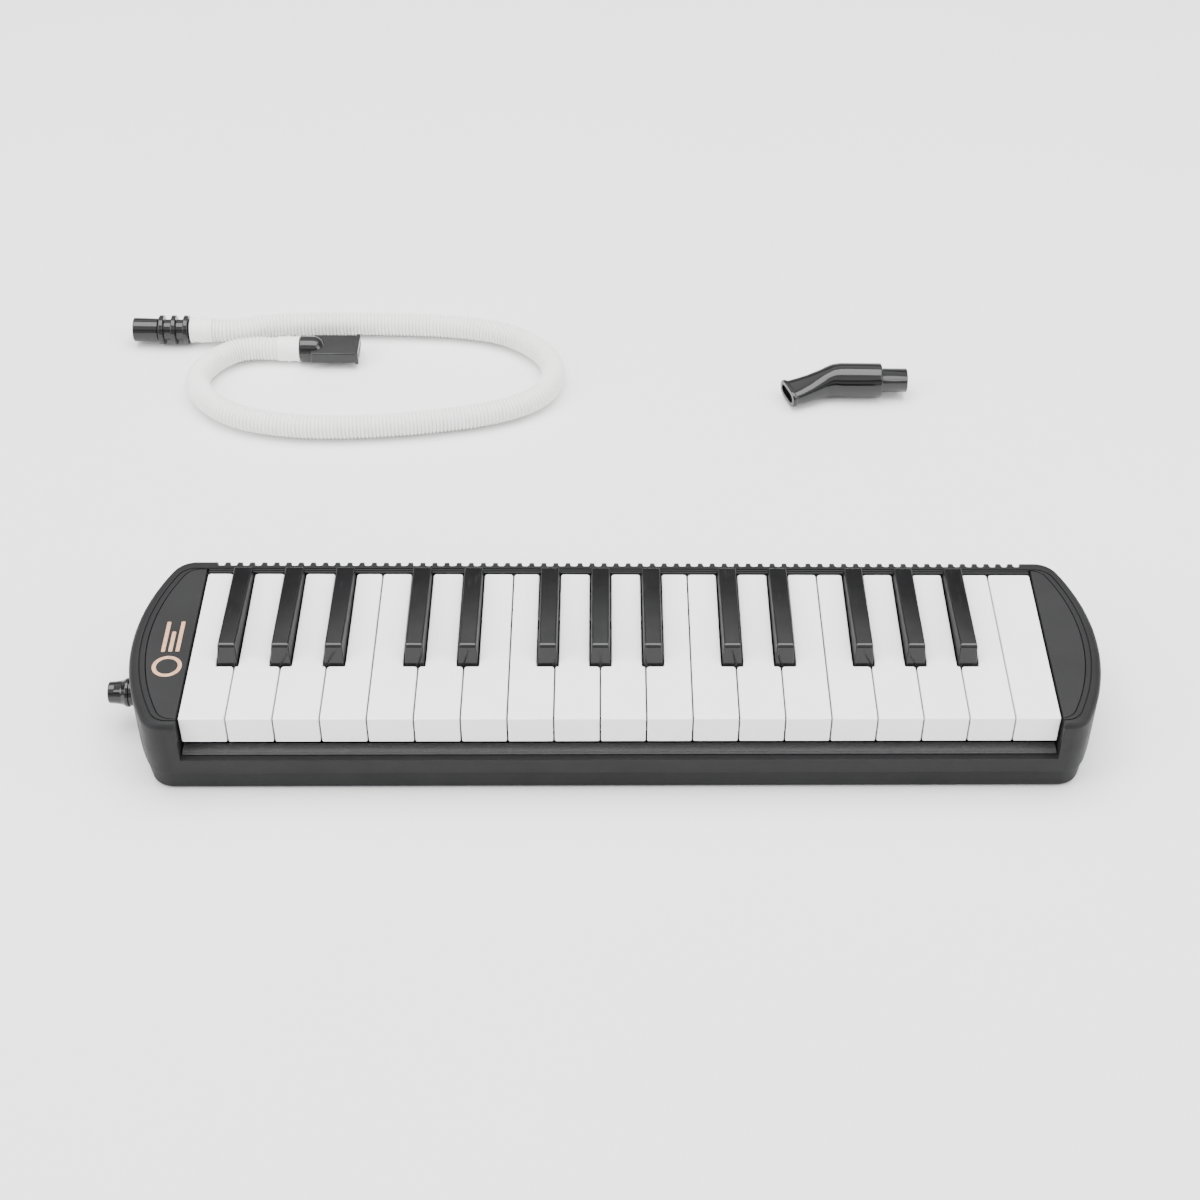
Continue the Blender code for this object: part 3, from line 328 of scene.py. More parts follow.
def foil():
    """Hot-stamped rose-gold foil, slightly broken up and worn."""
    finish = Finish("foil", metallic=1.0)
    tone = finish.mottle((0.80, 0.50, 0.34), (0.66, 0.39, 0.26), 400.0, 4.0)
    rub = finish.span(finish.noise(900.0, detail=5.0), 0.30, 0.55)
    return finish.colour(tone).rough(rub).bump((finish.noise(2500.0, detail=2.0), 0.00001)).material


MATERIALS = {
    "casing": matte_plastic("casing_plastic", (0.011, 0.011, 0.0115), 0.50),
    "panel": matte_plastic("panel_plastic", (0.014, 0.014, 0.0145), 0.50, 0.00002),
    "chest": matte_plastic("chest_plastic", (0.42, 0.42, 0.40), 0.50),
    "white_key": gloss_plastic("white_key_plastic", (0.90, 0.90, 0.895), 0.20, 0.030),
    "black_key": gloss_plastic("black_key_plastic", (0.0055, 0.0055, 0.006), 0.09, 0.30,
                               satin_flanks=True),
    "black_gloss": gloss_plastic("black_gloss_plastic", (0.006, 0.006, 0.0065), 0.11, 0.30),
    "hose": hose_plastic(),
    "brass": metal("rolled_brass", (0.72, 0.52, 0.22)),
    "steel": metal("zinc_steel", (0.62, 0.62, 0.64)),
    "rubber": rubber(),
    "felt": felt("stop_felt", (0.012, 0.012, 0.013), (0.035, 0.035, 0.036)),
    "pad": felt("key_pad_leather", (0.50, 0.42, 0.33), (0.62, 0.54, 0.44)),
    "foil": foil(),
}


# Outline and mesh helpers

def turn_about(centre, arm, angle):
    c, s = math.cos(angle), math.sin(angle)
    return Vector((centre.x + arm.x * c - arm.y * s, centre.y + arm.x * s + arm.y * c))


def rounded(corners, steps=4, closed=True):
    """Outline through (u, v, radius) corners with an arc at each one."""
    points = []
    count = len(corners)
    for i, (u, v, radius) in enumerate(corners):
        here = Vector((u, v))
        if radius <= 0 or (not closed and i in (0, count - 1)):
            points.append(here)
            continue
        back = Vector(corners[i - 1][:2]) - here
        ahead = Vector(corners[(i + 1) % count][:2]) - here
        half = back.angle(ahead) / 2
        reach = min(radius / math.tan(half), back.length * 0.49, ahead.length * 0.49)
        centre = here + (back.normalized() + ahead.normalized()).normalized() * reach / math.cos(half)
        arm = here + back.normalized() * reach - centre
        side = 1 if back.x * ahead.y - back.y * ahead.x < 0 else -1
        sweep = side * (math.pi - 2 * half)
        points += [turn_about(centre, arm, sweep * k / steps) for k in range(steps + 1)]
    return points


def rectangle(low, high, radius, far_radius=None):
    """Corners for rounded(), with another radius at the far end of u if given."""
    far = radius if far_radius is None else far_radius
    return [(low[0], low[1], radius), (high[0], low[1], far),
            (high[0], high[1], far), (low[0], high[1], radius)]


def inset(outline, distance, front=1.0, front_y=None):
    """Move a counter-clockwise outline inwards; front widens it along the player's edge."""
    if not distance:
        return outline
    moved = []
    for i, here in enumerate(outline):
        first = (here - outline[i - 1]).normalized()
        second = (outline[(i + 1) % len(outline)] - here).normalized()
        normal = Vector((-first.y - second.y, first.x + second.x)).normalized()
        reach = distance / max(0.4, normal.x * -first.y + normal.y * first.x)
        step = normal * reach
        if front_y is not None and here.y < front_y and step.y > 0:
            step.y *= front
        moved.append(here + step)
    return moved


def bridge(shape, rings):
    """Join each ring to the next one, of equal length, with quads."""
    for first, second in zip(rings, rings[1:]):
        for i in range(len(first)):
            j = (i + 1) % len(first)
            shape.faces.new((first[i], first[j], second[j], second[i]))


def skin(shape, rings, closed=False):
    """Bridge rings; the ends are capped or joined."""
    bridge(shape, rings + rings[:1] if closed else rings)
    if not closed:
        shape.faces.new(list(reversed(rings[0])))
        shape.faces.new(rings[-1])


def level(shape, outline, z):
    return [shape.verts.new((p[0], p[1], z)) for p in outline]


def soft_edge(radius, top, steps=4):
    """(inset, z) pairs of a quarter round from a side up to a flat top."""
    angles = [math.pi / 2 * k / steps for k in range(steps + 1)]
    return [(radius * (1 - math.cos(a)), top - radius * (1 - math.sin(a))) for a in angles]


def prism(shape, outline, low, high, axis="Z", soft=0.0):
    """Extrude an outline along X or Z, with its rims rounded by soft."""
    place = {"X": lambda u, v, w: (w, u, v), "Z": lambda u, v, w: (u, v, w)}[axis]
    outline = [Vector(p[:2]) for p in outline]
    levels = [(0.0, low), (0.0, high)]
    if soft:
        upper = soft_edge(soft, high, 3)
        levels = [(i, low + high - w) for i, w in reversed(upper)] + upper
    rings = []
    for shrink, w in levels:
        rings.append([shape.verts.new(place(u, v, w)) for u, v in inset(outline, shrink)])
    skin(shape, rings)


def box(shape, low, high):
    size = Vector(high) - Vector(low)
    centre = (Vector(high) + Vector(low)) / 2
    bmesh.ops.create_cube(shape, size=1.0,
                          matrix=Matrix.Translation(centre) @ Matrix.Diagonal((*size, 1.0)))


def hoop(shape, centre, radius, across, other, sides):
    """Round ring of vertices in the plane of two directions."""
    turns = [2 * math.pi * k / sides for k in range(sides)]
    return [shape.verts.new(centre + radius * (math.cos(a) * across + math.sin(a) * other)) for a in turns]


def turned(shape, profile, start, direction, sides=48, closed=True):
    """Turn (distance, radius) points about the line from start along direction."""
    along = Vector(direction).normalized()
    across = along.orthogonal().normalized()
    other = along.cross(across)
    skin(shape, [hoop(shape, Vector(start) + along * distance, radius, across, other, sides)
                 for distance, radius in profile], closed)


def solid_profile(corners):
    """Rounded profile of a solid turned piece, whose ends stop just short of its axis."""
    profile = rounded(corners, closed=False)
    profile[0].y = profile[-1].y = 0.0001
    return profile


def circle(u, v, radius, sides=24):
    return [Vector((u + radius * math.cos(2 * math.pi * k / sides),
                    v + radius * math.sin(2 * math.pi * k / sides))) for k in range(sides)]


def piece_of(name, build):
    """Fill a mesh with build and put it in the scene."""
    shape = bmesh.new()
    build(shape)
    bmesh.ops.recalc_face_normals(shape, faces=shape.faces)
    mesh = bpy.data.meshes.new(name)
    shape.to_mesh(mesh)
    shape.free()
    return object_of(name, mesh)


def applied(piece):
    """Bake a piece's modifiers into its mesh."""
    bpy.context.view_layer.update()
    evaluated = piece.evaluated_get(bpy.context.evaluated_depsgraph_get())
    mesh = bpy.data.meshes.new_from_object(evaluated)
    piece.modifiers.clear()
    piece.data = mesh


def clean(piece, split_above=None):
    """Merge doubled points; faces with more corners than split_above become triangles."""
    shape = bmesh.new()
    shape.from_mesh(piece.data)
    bmesh.ops.remove_doubles(shape, verts=shape.verts, dist=2e-6)
    if split_above:
        bmesh.ops.triangulate(shape, faces=[f for f in shape.faces if len(f.verts) > split_above])
    shape.to_mesh(piece.data)
    shape.free()


def combine(piece, build, operation="DIFFERENCE"):
    """Cut or join a built shape with a piece."""
    tool = piece_of(piece.name + "_tool", build)
    modifier = piece.modifiers.new("combine", "BOOLEAN")
    modifier.operation = operation
    modifier.solver = "EXACT"
    modifier.object = tool
    applied(piece)
    bpy.data.objects.remove(tool, do_unlink=True)
    clean(piece)


def soften(piece, width=0.00018):
    """Round every sharp edge by a hair."""
    clean(piece, 4)
    modifier = piece.modifiers.new("soften", "BEVEL")
    modifier.width = width
    modifier.segments = 2
    modifier.limit_method = "ANGLE"
    modifier.angle_limit = math.radians(35)
    modifier.use_clamp_overlap = False
    applied(piece)


def finish_piece(piece, material, body, nodes=(), angle=40, weighted=True):
    """Shade a piece, give it its material and hang it on its body."""
    piece.data.materials.clear()
    piece.data.materials.append(MATERIALS[material])
    piece.data.shade_smooth()
    piece.data.set_sharp_from_angle(angle=math.radians(angle))
    if weighted:
        piece.modifiers.new("normals", "WEIGHTED_NORMAL").keep_sharp = True
    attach(piece, body)
    if nodes:
        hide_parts(*nodes)
    return piece


# Blowing hose

def hose_line(count):
    """Evenly spaced points along the hose's centre line, and its length."""
    route = [Vector((x, y, 0.0)) for x, y in HOSE_ROUTE]
    padded = [2 * route[0] - route[1]] + route + [2 * route[-1] - route[-2]]
    fine = []
    for a, b, c, d in zip(padded, padded[1:], padded[2:], padded[3:]):
        for k in range(40):
            t = k / 40
            fine.append(0.5 * (2 * b + (c - a) * t + (2 * a - 5 * b + 4 * c - d) * t * t
                               + (3 * b - a - 3 * c + d) * t ** 3))
    fine.append(route[-1])
    reach = [0.0]
    for first, second in zip(fine, fine[1:]):
        reach.append(reach[-1] + (second - first).length)
    line, j = [], 0
    for k in range(count):
        wanted = reach[-1] * k / (count - 1)
        while j < len(fine) - 2 and reach[j + 1] < wanted:
            j += 1
        part = (wanted - reach[j]) / (reach[j + 1] - reach[j])
        fall = min(1.0, k / (count - 1) / HOSE_FALL)
        height = CONNECTOR_Z + (HOSE_Z - CONNECTOR_Z) * fall * fall * (3 - 2 * fall)
        line.append(fine[j].lerp(fine[j + 1], part) + Vector((*HOSE_CENTRE, height)))
    return line, reach[-1]


RIB_PITCH = 0.00180
RIB_DEPTH = 0.00085
HOSE_WALL = 0.0014
RINGS_PER_RIB = 8
HOSE_SIDES = 28


def add_hose():
    """Corrugated tube: round ribs with narrow valleys between them."""
    _, length = hose_line(2)
    ribs = round(length / RIB_PITCH)
    line, length = hose_line(ribs * RINGS_PER_RIB + 1)

    def build(shape):
        outer, inner = [], []
        for k, centre in enumerate(line):
            ahead = line[min(k + 1, len(line) - 1)] - line[max(k - 1, 0)]
            across = Vector((-ahead.y, ahead.x, 0.0)).normalized()
            upward = ahead.normalized().cross(across) * -1
            valley = abs(math.cos(math.pi * k / RINGS_PER_RIB)) ** 2.6
            radius = HOSE_RADIUS - RIB_DEPTH * valley
            outer.append(hoop(shape, centre, radius, across, upward, HOSE_SIDES))
            if k % RINGS_PER_RIB == 0:
                inner.append(hoop(shape, centre, HOSE_RADIUS - HOSE_WALL, across, upward, HOSE_SIDES))
        skin(shape, outer + list(reversed(inner)), closed=True)

    hose = piece_of("blowing_hose", build)
    finish_piece(hose, "hose", "hose", ["hose_tube"], angle=80, weighted=False)
    return hose, line, length


def add_cuff(name, start, direction, node):
    """Smooth moulded end of the hose with a small ring round its middle."""
    half = CUFF_LENGTH / 2
    ring = CUFF_RADIUS + 0.00035
    corners = [(-GAP, CUFF_RADIUS, 0.0005), (half - 0.0009, CUFF_RADIUS, 0.0002),
               (half - 0.0005, ring, 0.0003), (half + 0.0005, ring, 0.0003),
               (half + 0.0009, CUFF_RADIUS, 0.0002), (CUFF_LENGTH - 0.0012, CUFF_RADIUS, 0.0002),
               (CUFF_LENGTH - 0.0010, ring, 0.0002), (CUFF_LENGTH, ring, 0.0003),
               (CUFF_LENGTH, 0.0046, 0.0004), (-GAP, 0.0046, 0.0004)]
    cuff = piece_of(name, lambda s: turned(s, rounded(corners), start, direction))
    return finish_piece(cuff, "hose", "hose", [node])


def add_connector(start):
    """Ribbed black sleeve that pushes over the instrument's nipple."""
    neck, rib, sleeve = 0.0054, 0.0076, 0.0060
    corners = [(0.0, neck, 0.0003)]
    for k in range(3):
        at = 0.0003 + 0.0062 * k
        corners += [(at + 0.0001, neck, 0.0003), (at + 0.0003, rib - 0.0002, 0.0005),
                    (at + 0.0012, rib - 0.0001, 0.0006), (at + 0.0026, rib, 0.0005),
                    (at + 0.0028, neck, 0.0003)]
    corners += [(0.0158, neck, 0.0004), (0.0163, sleeve - 0.0002, 0.0004),
                (CONNECTOR_LENGTH, sleeve + 0.0001, 0.0005), (CONNECTOR_LENGTH, 0.0047, 0.0004),
                (0.0135, 0.0046, 0.0003), (0.0130, 0.0034, 0.0003), (0.0, 0.0034, 0.0003)]
    connector = piece_of("hose_connector_look", lambda s: turned(
        s, rounded(corners), start, (-1, 0, 0), sides=64))
    return finish_piece(connector, "black_gloss", "hose", ["hose_connector"])


TIP_RADIUS = 0.0065
TIP_SOCKET = 0.0127
TIP_BORE_RADIUS = 0.0042
BLADE_START = 0.0055
BLADE_END = 0.0297
LIP_START = BLADE_END - 0.0019
BLADE_HALF_WIDTH = 0.0084
BLADE_HALF_HEIGHT = 0.0030
LIP_HALF_HEIGHT = 0.0036


def add_mouth_tip(start):
    """Domed socket on a flat blade with a lip round its end."""
    def socket(shape):
        profile = [(0.0, 0.0002), (0.0, TIP_RADIUS - 0.0004), (0.0004, TIP_RADIUS)]
        for k in range(12):
            angle = math.pi / 2 * k / 12
            profile.append((TIP_SOCKET - TIP_RADIUS * (1 - math.sin(angle)), TIP_RADIUS * math.cos(angle)))
        profile.append((TIP_SOCKET, 0.0002))
        turned(shape, profile, start, (1, 0, 0), sides=56, closed=False)

    def plate(shape, begin, half_height, corner, soft):
        low, high = start.y - BLADE_HALF_WIDTH, start.y + BLADE_HALF_WIDTH
        corners = rectangle((start.x + begin, low), (start.x + BLADE_END, high), corner, 0.0006)
        prism(shape, rounded(corners), start.z - half_height, start.z + half_height, soft=soft)

    def breath_slot(shape):
        slot = rectangle((start.y - 0.0064, start.z - 0.0011), (start.y + 0.0064, start.z + 0.0011), 0.0007)
        prism(shape, rounded(slot), start.x + 0.0090, start.x + BLADE_END + 0.001, "X")

    tip = piece_of("hose_mouth_tip_look", socket)
    combine(tip, lambda s: plate(s, BLADE_START, BLADE_HALF_HEIGHT, 0.0012, 0.0006), "UNION")
    combine(tip, lambda s: plate(s, LIP_START, LIP_HALF_HEIGHT, 0.0004, 0.0003), "UNION")
    combine(tip, breath_slot)
    bore = [(-0.001, TIP_BORE_RADIUS), (0.0100, TIP_BORE_RADIUS)]
    combine(tip, lambda s: turned(s, bore, start, (1, 0, 0), 32, False))
    return finish_piece(tip, "black_gloss", "hose", ["hose_mouth_tip"])


def add_blowing_hose():
    left, right = Vector((-1, 0, 0)), Vector((1, 0, 0))
    hose, line, length = add_hose()
    first, last = line[0], line[-1]
    inlet = add_cuff("hose_cuff_inlet_look", first + left * GAP, left, "hose_cuff_inlet")
    mouth = add_cuff("hose_cuff_mouth_look", last + right * GAP, right, "hose_cuff_mouth")
    connector = add_connector(first + left * (CUFF_LENGTH + 2 * GAP))
    tip = add_mouth_tip(last + right * (CUFF_LENGTH + 2 * GAP))


# Keyboard

def white_left(index):
    return -KEYBOARD_HALF + WHITE_PITCH * index


def sharp_centre(index):
    """X of the black key after white key number index, or None."""
    degree = (FIRST_WHITE + index) % 7
    if index < 0 or index > WHITE_COUNT - 2 or degree not in SHARP_AFTER:
        return None
    return white_left(index + 1) + SHARP_AFTER[degree]


def key_bounds(index):
    """X limits of a white key."""
    return white_left(index) + KEY_GAP / 2, white_left(index + 1) - KEY_GAP / 2


def rear_bounds(index):
    """X limits of a white key's narrow rear part."""
    left, right = key_bounds(index)
    reach = BLACK_WIDTH / 2 + BLACK_CLEARANCE
    if sharp_centre(index - 1) is not None:
        left = sharp_centre(index - 1) + reach
    if sharp_centre(index) is not None:
        right = sharp_centre(index) - reach
    return left, right


def note_name(index, sharp=False):
    step = FIRST_WHITE + index
    return NOTES[step % 7] + ("s" if sharp else "") + str(FIRST_OCTAVE + step // 7)


def add_lever(key, tail_x, front_y):
    """The lever under a key, bored for the pivot rod."""
    tail_y = PAD_Y + PAD_LENGTH / 2
    low = DECK_Z + GAP + PAD_THICKNESS
    hub_front, hub_back = PIVOT_Y - HUB_RADIUS, PIVOT_Y + HUB_RADIUS
    hub_low = PIVOT_Z - HUB_RADIUS * 0.9
    side = [(front_y, LEVER_TOP_Z, 0), (front_y, LEVER_TOP_Z - 0.0050, 0.0010),
            (PIVOT_Y - 0.0085, PIVOT_Z + 0.0012, 0.0020), (hub_front, PIVOT_Z - 0.0006, 0.0006),
            (PIVOT_Y - HUB_RADIUS * 0.45, hub_low, 0.0012), (PIVOT_Y + HUB_RADIUS * 0.45, hub_low, 0.0012),
            (hub_back, PIVOT_Z - 0.0016, 0.0006), (hub_back + 0.0015, low, 0.0004), (tail_y, low, 0.0006),
            (tail_y, low + 0.0031, 0.0006), (KEY_BACK_Y - 0.0060, low + 0.0039, 0.0010),
            (KEY_BACK_Y - 0.0090, LEVER_TOP_Z, 0)]
    half = WEB_WIDTH / 2
    combine(key, lambda s: prism(s, rounded(side), tail_x - half, tail_x + half, "X", soft=0.0003), "UNION")
    combine(key, lambda s: prism(s, circle(PIVOT_Y, PIVOT_Z, ROD_HOLE_RADIUS, 20),
                                 tail_x - WEB_WIDTH, tail_x + WEB_WIDTH, "X"))


def white_plate(shape, index):
    """Key top with its cut-outs for the black keys, and the lip down its front."""
    left, right = key_bounds(index)
    rear_left, rear_right = rear_bounds(index)
    notch_y = BLACK_FRONT_Y - BLACK_FRONT_CLEARANCE
    corners = [(left, LIP_BACK_Y, 0), (left, KEY_FRONT_Y, 0.0006), (right, KEY_FRONT_Y, 0.0006),
               (right, LIP_BACK_Y, 0)]
    if rear_right < right - 0.0006:
        corners += [(right, notch_y, 0.0013), (rear_right, notch_y, 0.0006)]
    corners += [(rear_right, KEY_BACK_Y, 0.0013), (rear_left, KEY_BACK_Y, 0.0013)]
    if rear_left > left + 0.0006:
        corners += [(rear_left, notch_y, 0.0006), (left, notch_y, 0.0013)]
    outline = rounded(corners)
    lip_count = next(i for i, p in enumerate(outline) if i and p == Vector((right, LIP_BACK_Y))) + 1
    rings = [level(shape, outline, PLATE_LOW_Z)]
    for shrink, z in soft_edge(0.0005, WHITE_TOP_Z):
        rings.append(level(shape, inset(outline, shrink, 1.8, LIP_BACK_Y - 0.0005), z))
    bridge(shape, rings)
    shape.faces.new(rings[-1])
    shape.faces.new([rings[0][0]] + list(reversed(rings[0][lip_count - 1:])))
    strip = outline[:lip_count]
    lip_low = WHITE_TOP_Z - LIP_DROP
    lip_rings = [rings[0][:lip_count]]
    for shrink, z in ((0.0, lip_low + 0.0005), (0.00015, lip_low + 0.00015), (0.0005, lip_low)):
        lip_rings.append(level(shape, inset(strip, shrink), z))
    bridge(shape, lip_rings)
    shape.faces.new(lip_rings[-1])


def add_white_key(index):
    name = note_name(index)
    rear_left, rear_right = rear_bounds(index)
    tail_x = (rear_left + rear_right) / 2
    key = piece_of("key_" + name, lambda s: white_plate(s, index))
    add_lever(key, tail_x, LIP_BACK_Y + 0.0030)
    finish_piece(key, "white_key", "white_" + name, ["white_key_" + name])
    add_pad(name, tail_x, "white_" + name)


def black_body(shape, centre_x):
    """Tapered block; the bevel weights round its front ridge most."""
    def ring(y_base, y_top, z_top):
        wide = BLACK_WIDTH / 2
        narrow = wide - BLACK_DRAFT * (z_top - WHITE_TOP_Z)
        corners = ((-wide, y_base, PLATE_LOW_Z), (wide, y_base, PLATE_LOW_Z), (narrow, y_top, z_top),
                   (-narrow, y_top, z_top))
        return [shape.verts.new((centre_x + x, y, z)) for x, y, z in corners]

    front = ring(BLACK_FRONT_Y, BLACK_FRONT_Y + BLACK_SLANT, BLACK_FRONT_TOP_Z)
    back = ring(KEY_BACK_Y, KEY_BACK_Y - 0.0006, BLACK_BACK_TOP_Z)
    skin(shape, [front, back])
    weight = shape.edges.layers.float.new("bevel_weight_edge")
    for edge in shape.edges:
        high = [v.co.z > PLATE_LOW_Z + 0.001 for v in edge.verts]
        middle_y = (edge.verts[0].co.y + edge.verts[1].co.y) / 2
        if all(high):
            edge[weight] = 1.0 if middle_y < -0.010 else (0.45 if middle_y < 0.030 else 0.25)
        elif any(high):
            edge[weight] = 0.45 if middle_y < -0.010 else 0.25


def add_black_key(index):
    name = note_name(index, sharp=True)
    centre = sharp_centre(index)
    key = piece_of("key_" + name, lambda s: black_body(s, centre))
    modifier = key.modifiers.new("soften", "BEVEL")
    modifier.limit_method = "WEIGHT"
    modifier.width = 0.0015
    modifier.segments = 5
    applied(key)
    add_lever(key, centre, BLACK_FRONT_Y + 0.0030)
    finish_piece(key, "black_key", "black_" + name, ["black_key_" + name])
    add_pad(name, centre, "black_" + name)


def add_pad(name, tail_x, body):
    """Soft leather-faced pad under the key's tail."""
    half_width, half_length = PAD_WIDTH / 2, PAD_LENGTH / 2 - 0.0002
    corners = rectangle((tail_x - half_width, PAD_Y - half_length),
                        (tail_x + half_width, PAD_Y + half_length), 0.0012)
    low = DECK_Z + GAP
    pad = piece_of("key_pad_" + name, lambda s: prism(
        s, rounded(corners), low, low + PAD_THICKNESS - 0.00005, soft=0.0004))
    finish_piece(pad, "pad", body)


def add_keyboard():
    for index in range(WHITE_COUNT):
        add_white_key(index)
        if sharp_centre(index) is not None:
            add_black_key(index)


# Casing

CORNER_STEPS = 10
BULGE_STEPS = 26


def corner_arc(centre_x, radius, corner, edge_y):
    """Corner joining a straight edge to a bulge, and the angle where it meets the bulge."""
    side = math.copysign(1.0, edge_y)
    corner_y = edge_y - side * corner
    offset = corner_y - END_CENTRE_Y
    corner_x = centre_x + math.sqrt((radius - corner) ** 2 - offset ** 2)
    meet = math.atan2(offset, corner_x - centre_x)
    straight = side * math.pi / 2
    angles = [straight + (meet - straight) * k / CORNER_STEPS for k in range(CORNER_STEPS + 1)]
    return [(corner_x + corner * math.cos(a), corner_y + corner * math.sin(a)) for a in angles], meet


def end_curve(end_x, insets, corner):
    """One bulged end from its rear to its front corner, inset at its side, rear and front."""
    side_inset, rear_inset, front_inset = insets
    centre_x = abs(end_x) - END_RADIUS
    radius = END_RADIUS - side_inset
    rear, top = corner_arc(centre_x, radius, corner, BODY_REAR_Y - rear_inset)
    front, bottom = corner_arc(centre_x, radius, corner, BODY_FRONT_Y + front_inset)
    bulge = [(centre_x + radius * math.cos(a), END_CENTRE_Y + radius * math.sin(a))
             for a in [top + (bottom - top) * k / BULGE_STEPS for k in range(1, BULGE_STEPS)]]
    return [Vector((math.copysign(x, end_x), y)) for x, y in rear + bulge + list(reversed(front))]


def whole_outline(insets, corner):
    """Counter-clockwise outline round both ends of the casing."""
    return list(reversed(end_curve(RIGHT_END_X, insets, corner))) + end_curve(LEFT_END_X, insets, corner)


def body_end(end_x, inset_by):
    return end_curve(end_x, (inset_by, inset_by, inset_by), CORNER_RADIUS - inset_by)


def closed_end(curve, inner_x):
    """Outline of one end block, closed by a straight edge at inner_x."""
    beyond = [p for p in curve if abs(p.x) > inner_x + 0.0005]
    edge_x = math.copysign(inner_x, curve[0].x)
    return [Vector((edge_x, curve[0].y))] + beyond + [Vector((edge_x, curve[-1].y))]


GROOVE_WIDTH = 0.00045
GROOVE_DEPTH = 0.0006
OUTER_GROOVE = (0.0042, 0.0053, 0.0029)      # inset at the sides, the rear and the front
GROOVE_CORNER = 0.0080
PANEL_EDGE = (0.0070, 0.0062, 0.0043)
PANEL_CORNER = 0.0075
RAIL_GROOVE_Y = 0.0413


def casing_top(shape):
    """Upper casing with a rounded rim and a fine groove inside it."""
    outline = whole_outline((0.0, 0.0, 0.0), CORNER_RADIUS)
    rings = [level(shape, outline, SPLIT_Z + GAP)]
    rings += [level(shape, inset(outline, shrink), z)
              for shrink, z in soft_edge(0.0028, CASING_TOP_Z, 7)]
    outer = whole_outline(OUTER_GROOVE, GROOVE_CORNER)
    inner = whole_outline([v + GROOVE_WIDTH for v in OUTER_GROOVE], GROOVE_CORNER - GROOVE_WIDTH)
    floor_z = CASING_TOP_Z - GROOVE_DEPTH
    for edge, z in ((outer, CASING_TOP_Z), (outer, floor_z), (inner, floor_z), (inner, CASING_TOP_Z)):
        rings.append(level(shape, edge, z))
    skin(shape, rings)


def panel_outline(end_x, grow=0.0, inner_x=BLOCK_INNER_X):
    """Outline of an end panel, closed by a straight edge along the keys."""
    curve = end_curve(end_x, [v - grow for v in PANEL_EDGE], PANEL_CORNER + grow)
    points = closed_end(curve, inner_x)
    return points if end_x < 0 else list(reversed(points))


def at_screws(shape, radius, low, high, sides=24):
    for x, y in SCREW_SPOTS:
        prism(shape, circle(x, y, radius, sides), low, high)


def add_upper_casing():
    casing = piece_of("upper_casing_look", casing_top)
    below, above, before = SPLIT_Z - 0.001, 0.050, -0.060

    def key_well(shape):
        outline = [(before, FRONT_BEAM_TOP_Z), (FRONT_BEAM_Y, FRONT_BEAM_TOP_Z),
                   (FRONT_BEAM_Y, below), (BODY_REAR_Y - WALL, below),
                   (BODY_REAR_Y - WALL, RAIL_UNDERSIDE_Z), (RAIL_FRONT_Y, RAIL_UNDERSIDE_Z),
                   (RAIL_FRONT_Y, above), (before, above)]
        prism(shape, outline, -BLOCK_INNER_X, BLOCK_INNER_X, "X")

    def pockets(shape):
        for end_x in (LEFT_END_X, RIGHT_END_X):
            prism(shape, closed_end(body_end(end_x, WALL), BLOCK_WALL_X), below, CASING_TOP_Z - 0.0045)

    def recesses(shape):
        for end_x in (LEFT_END_X, RIGHT_END_X):
            prism(shape, panel_outline(end_x, GAP, BLOCK_INNER_X - 0.001),
                  CASING_TOP_Z - PANEL_THICKNESS - GAP, above)

    def slots(shape):
        count = int(2 * KEYBOARD_HALF / SLOT_PITCH)
        for i in range(count):
            x = (i - (count - 1) / 2) * SLOT_PITCH
            half = SLOT_WIDTH / 2
            corners = [(x - half, SLOT_FRONT_Y, 0.0008), (x + half, SLOT_FRONT_Y, 0.0008),
                       (x + half + 0.0005, BODY_REAR_Y + 0.002, 0),
                       (x - half - 0.0005, BODY_REAR_Y + 0.002, 0)]
            prism(shape, rounded(corners, 3), CASING_TOP_Z - 0.0042, above)

    def rail_groove(shape):
        """Second fine groove between the rail's two bands."""
        box(shape, (-BLOCK_INNER_X - 0.0003, RAIL_GROOVE_Y, CASING_TOP_Z - GROOVE_DEPTH),
            (BLOCK_INNER_X + 0.0003, RAIL_GROOVE_Y + GROOVE_WIDTH, above))

    def bores(shape):
        """Holes for the screws, the nipple's tube and tail, the drain stem and button, and the pivot rod."""
        at_screws(shape, SCREW_BORE_RADIUS, below, 0.0171, 16)
        for low, high, radius in ((-0.230, -BLOCK_WALL_X - 0.010, 0.0059),
                                  (-BLOCK_WALL_X - 0.005, -BLOCK_INNER_X + 0.001, 0.0043),
                                  (BLOCK_INNER_X - 0.001, BLOCK_WALL_X + 0.005, 0.0017),
                                  (BLOCK_WALL_X + 0.010, 0.210, 0.0041)):
            prism(shape, circle(PORT_Y, PORT_Z, radius), low, high, "X")
        for side in (-1, 1):
            low, high = sorted((side * (BLOCK_INNER_X - 0.001), side * (BLOCK_INNER_X + 0.0020)))
            prism(shape, circle(PIVOT_Y, PIVOT_Z, 0.0015, 16), low, high, "X")

    combine(casing, rail_groove)
    combine(casing, key_well)
    combine(casing, pockets)
    combine(casing, lambda s: at_screws(s, BOSS_RADIUS, SPLIT_Z + GAP, CASING_TOP_Z - 0.0040), "UNION")
    combine(casing, bores)
    combine(casing, recesses)
    combine(casing, slots)
    soften(casing)
    finish_piece(casing, "casing", "casing", ["upper_casing"])


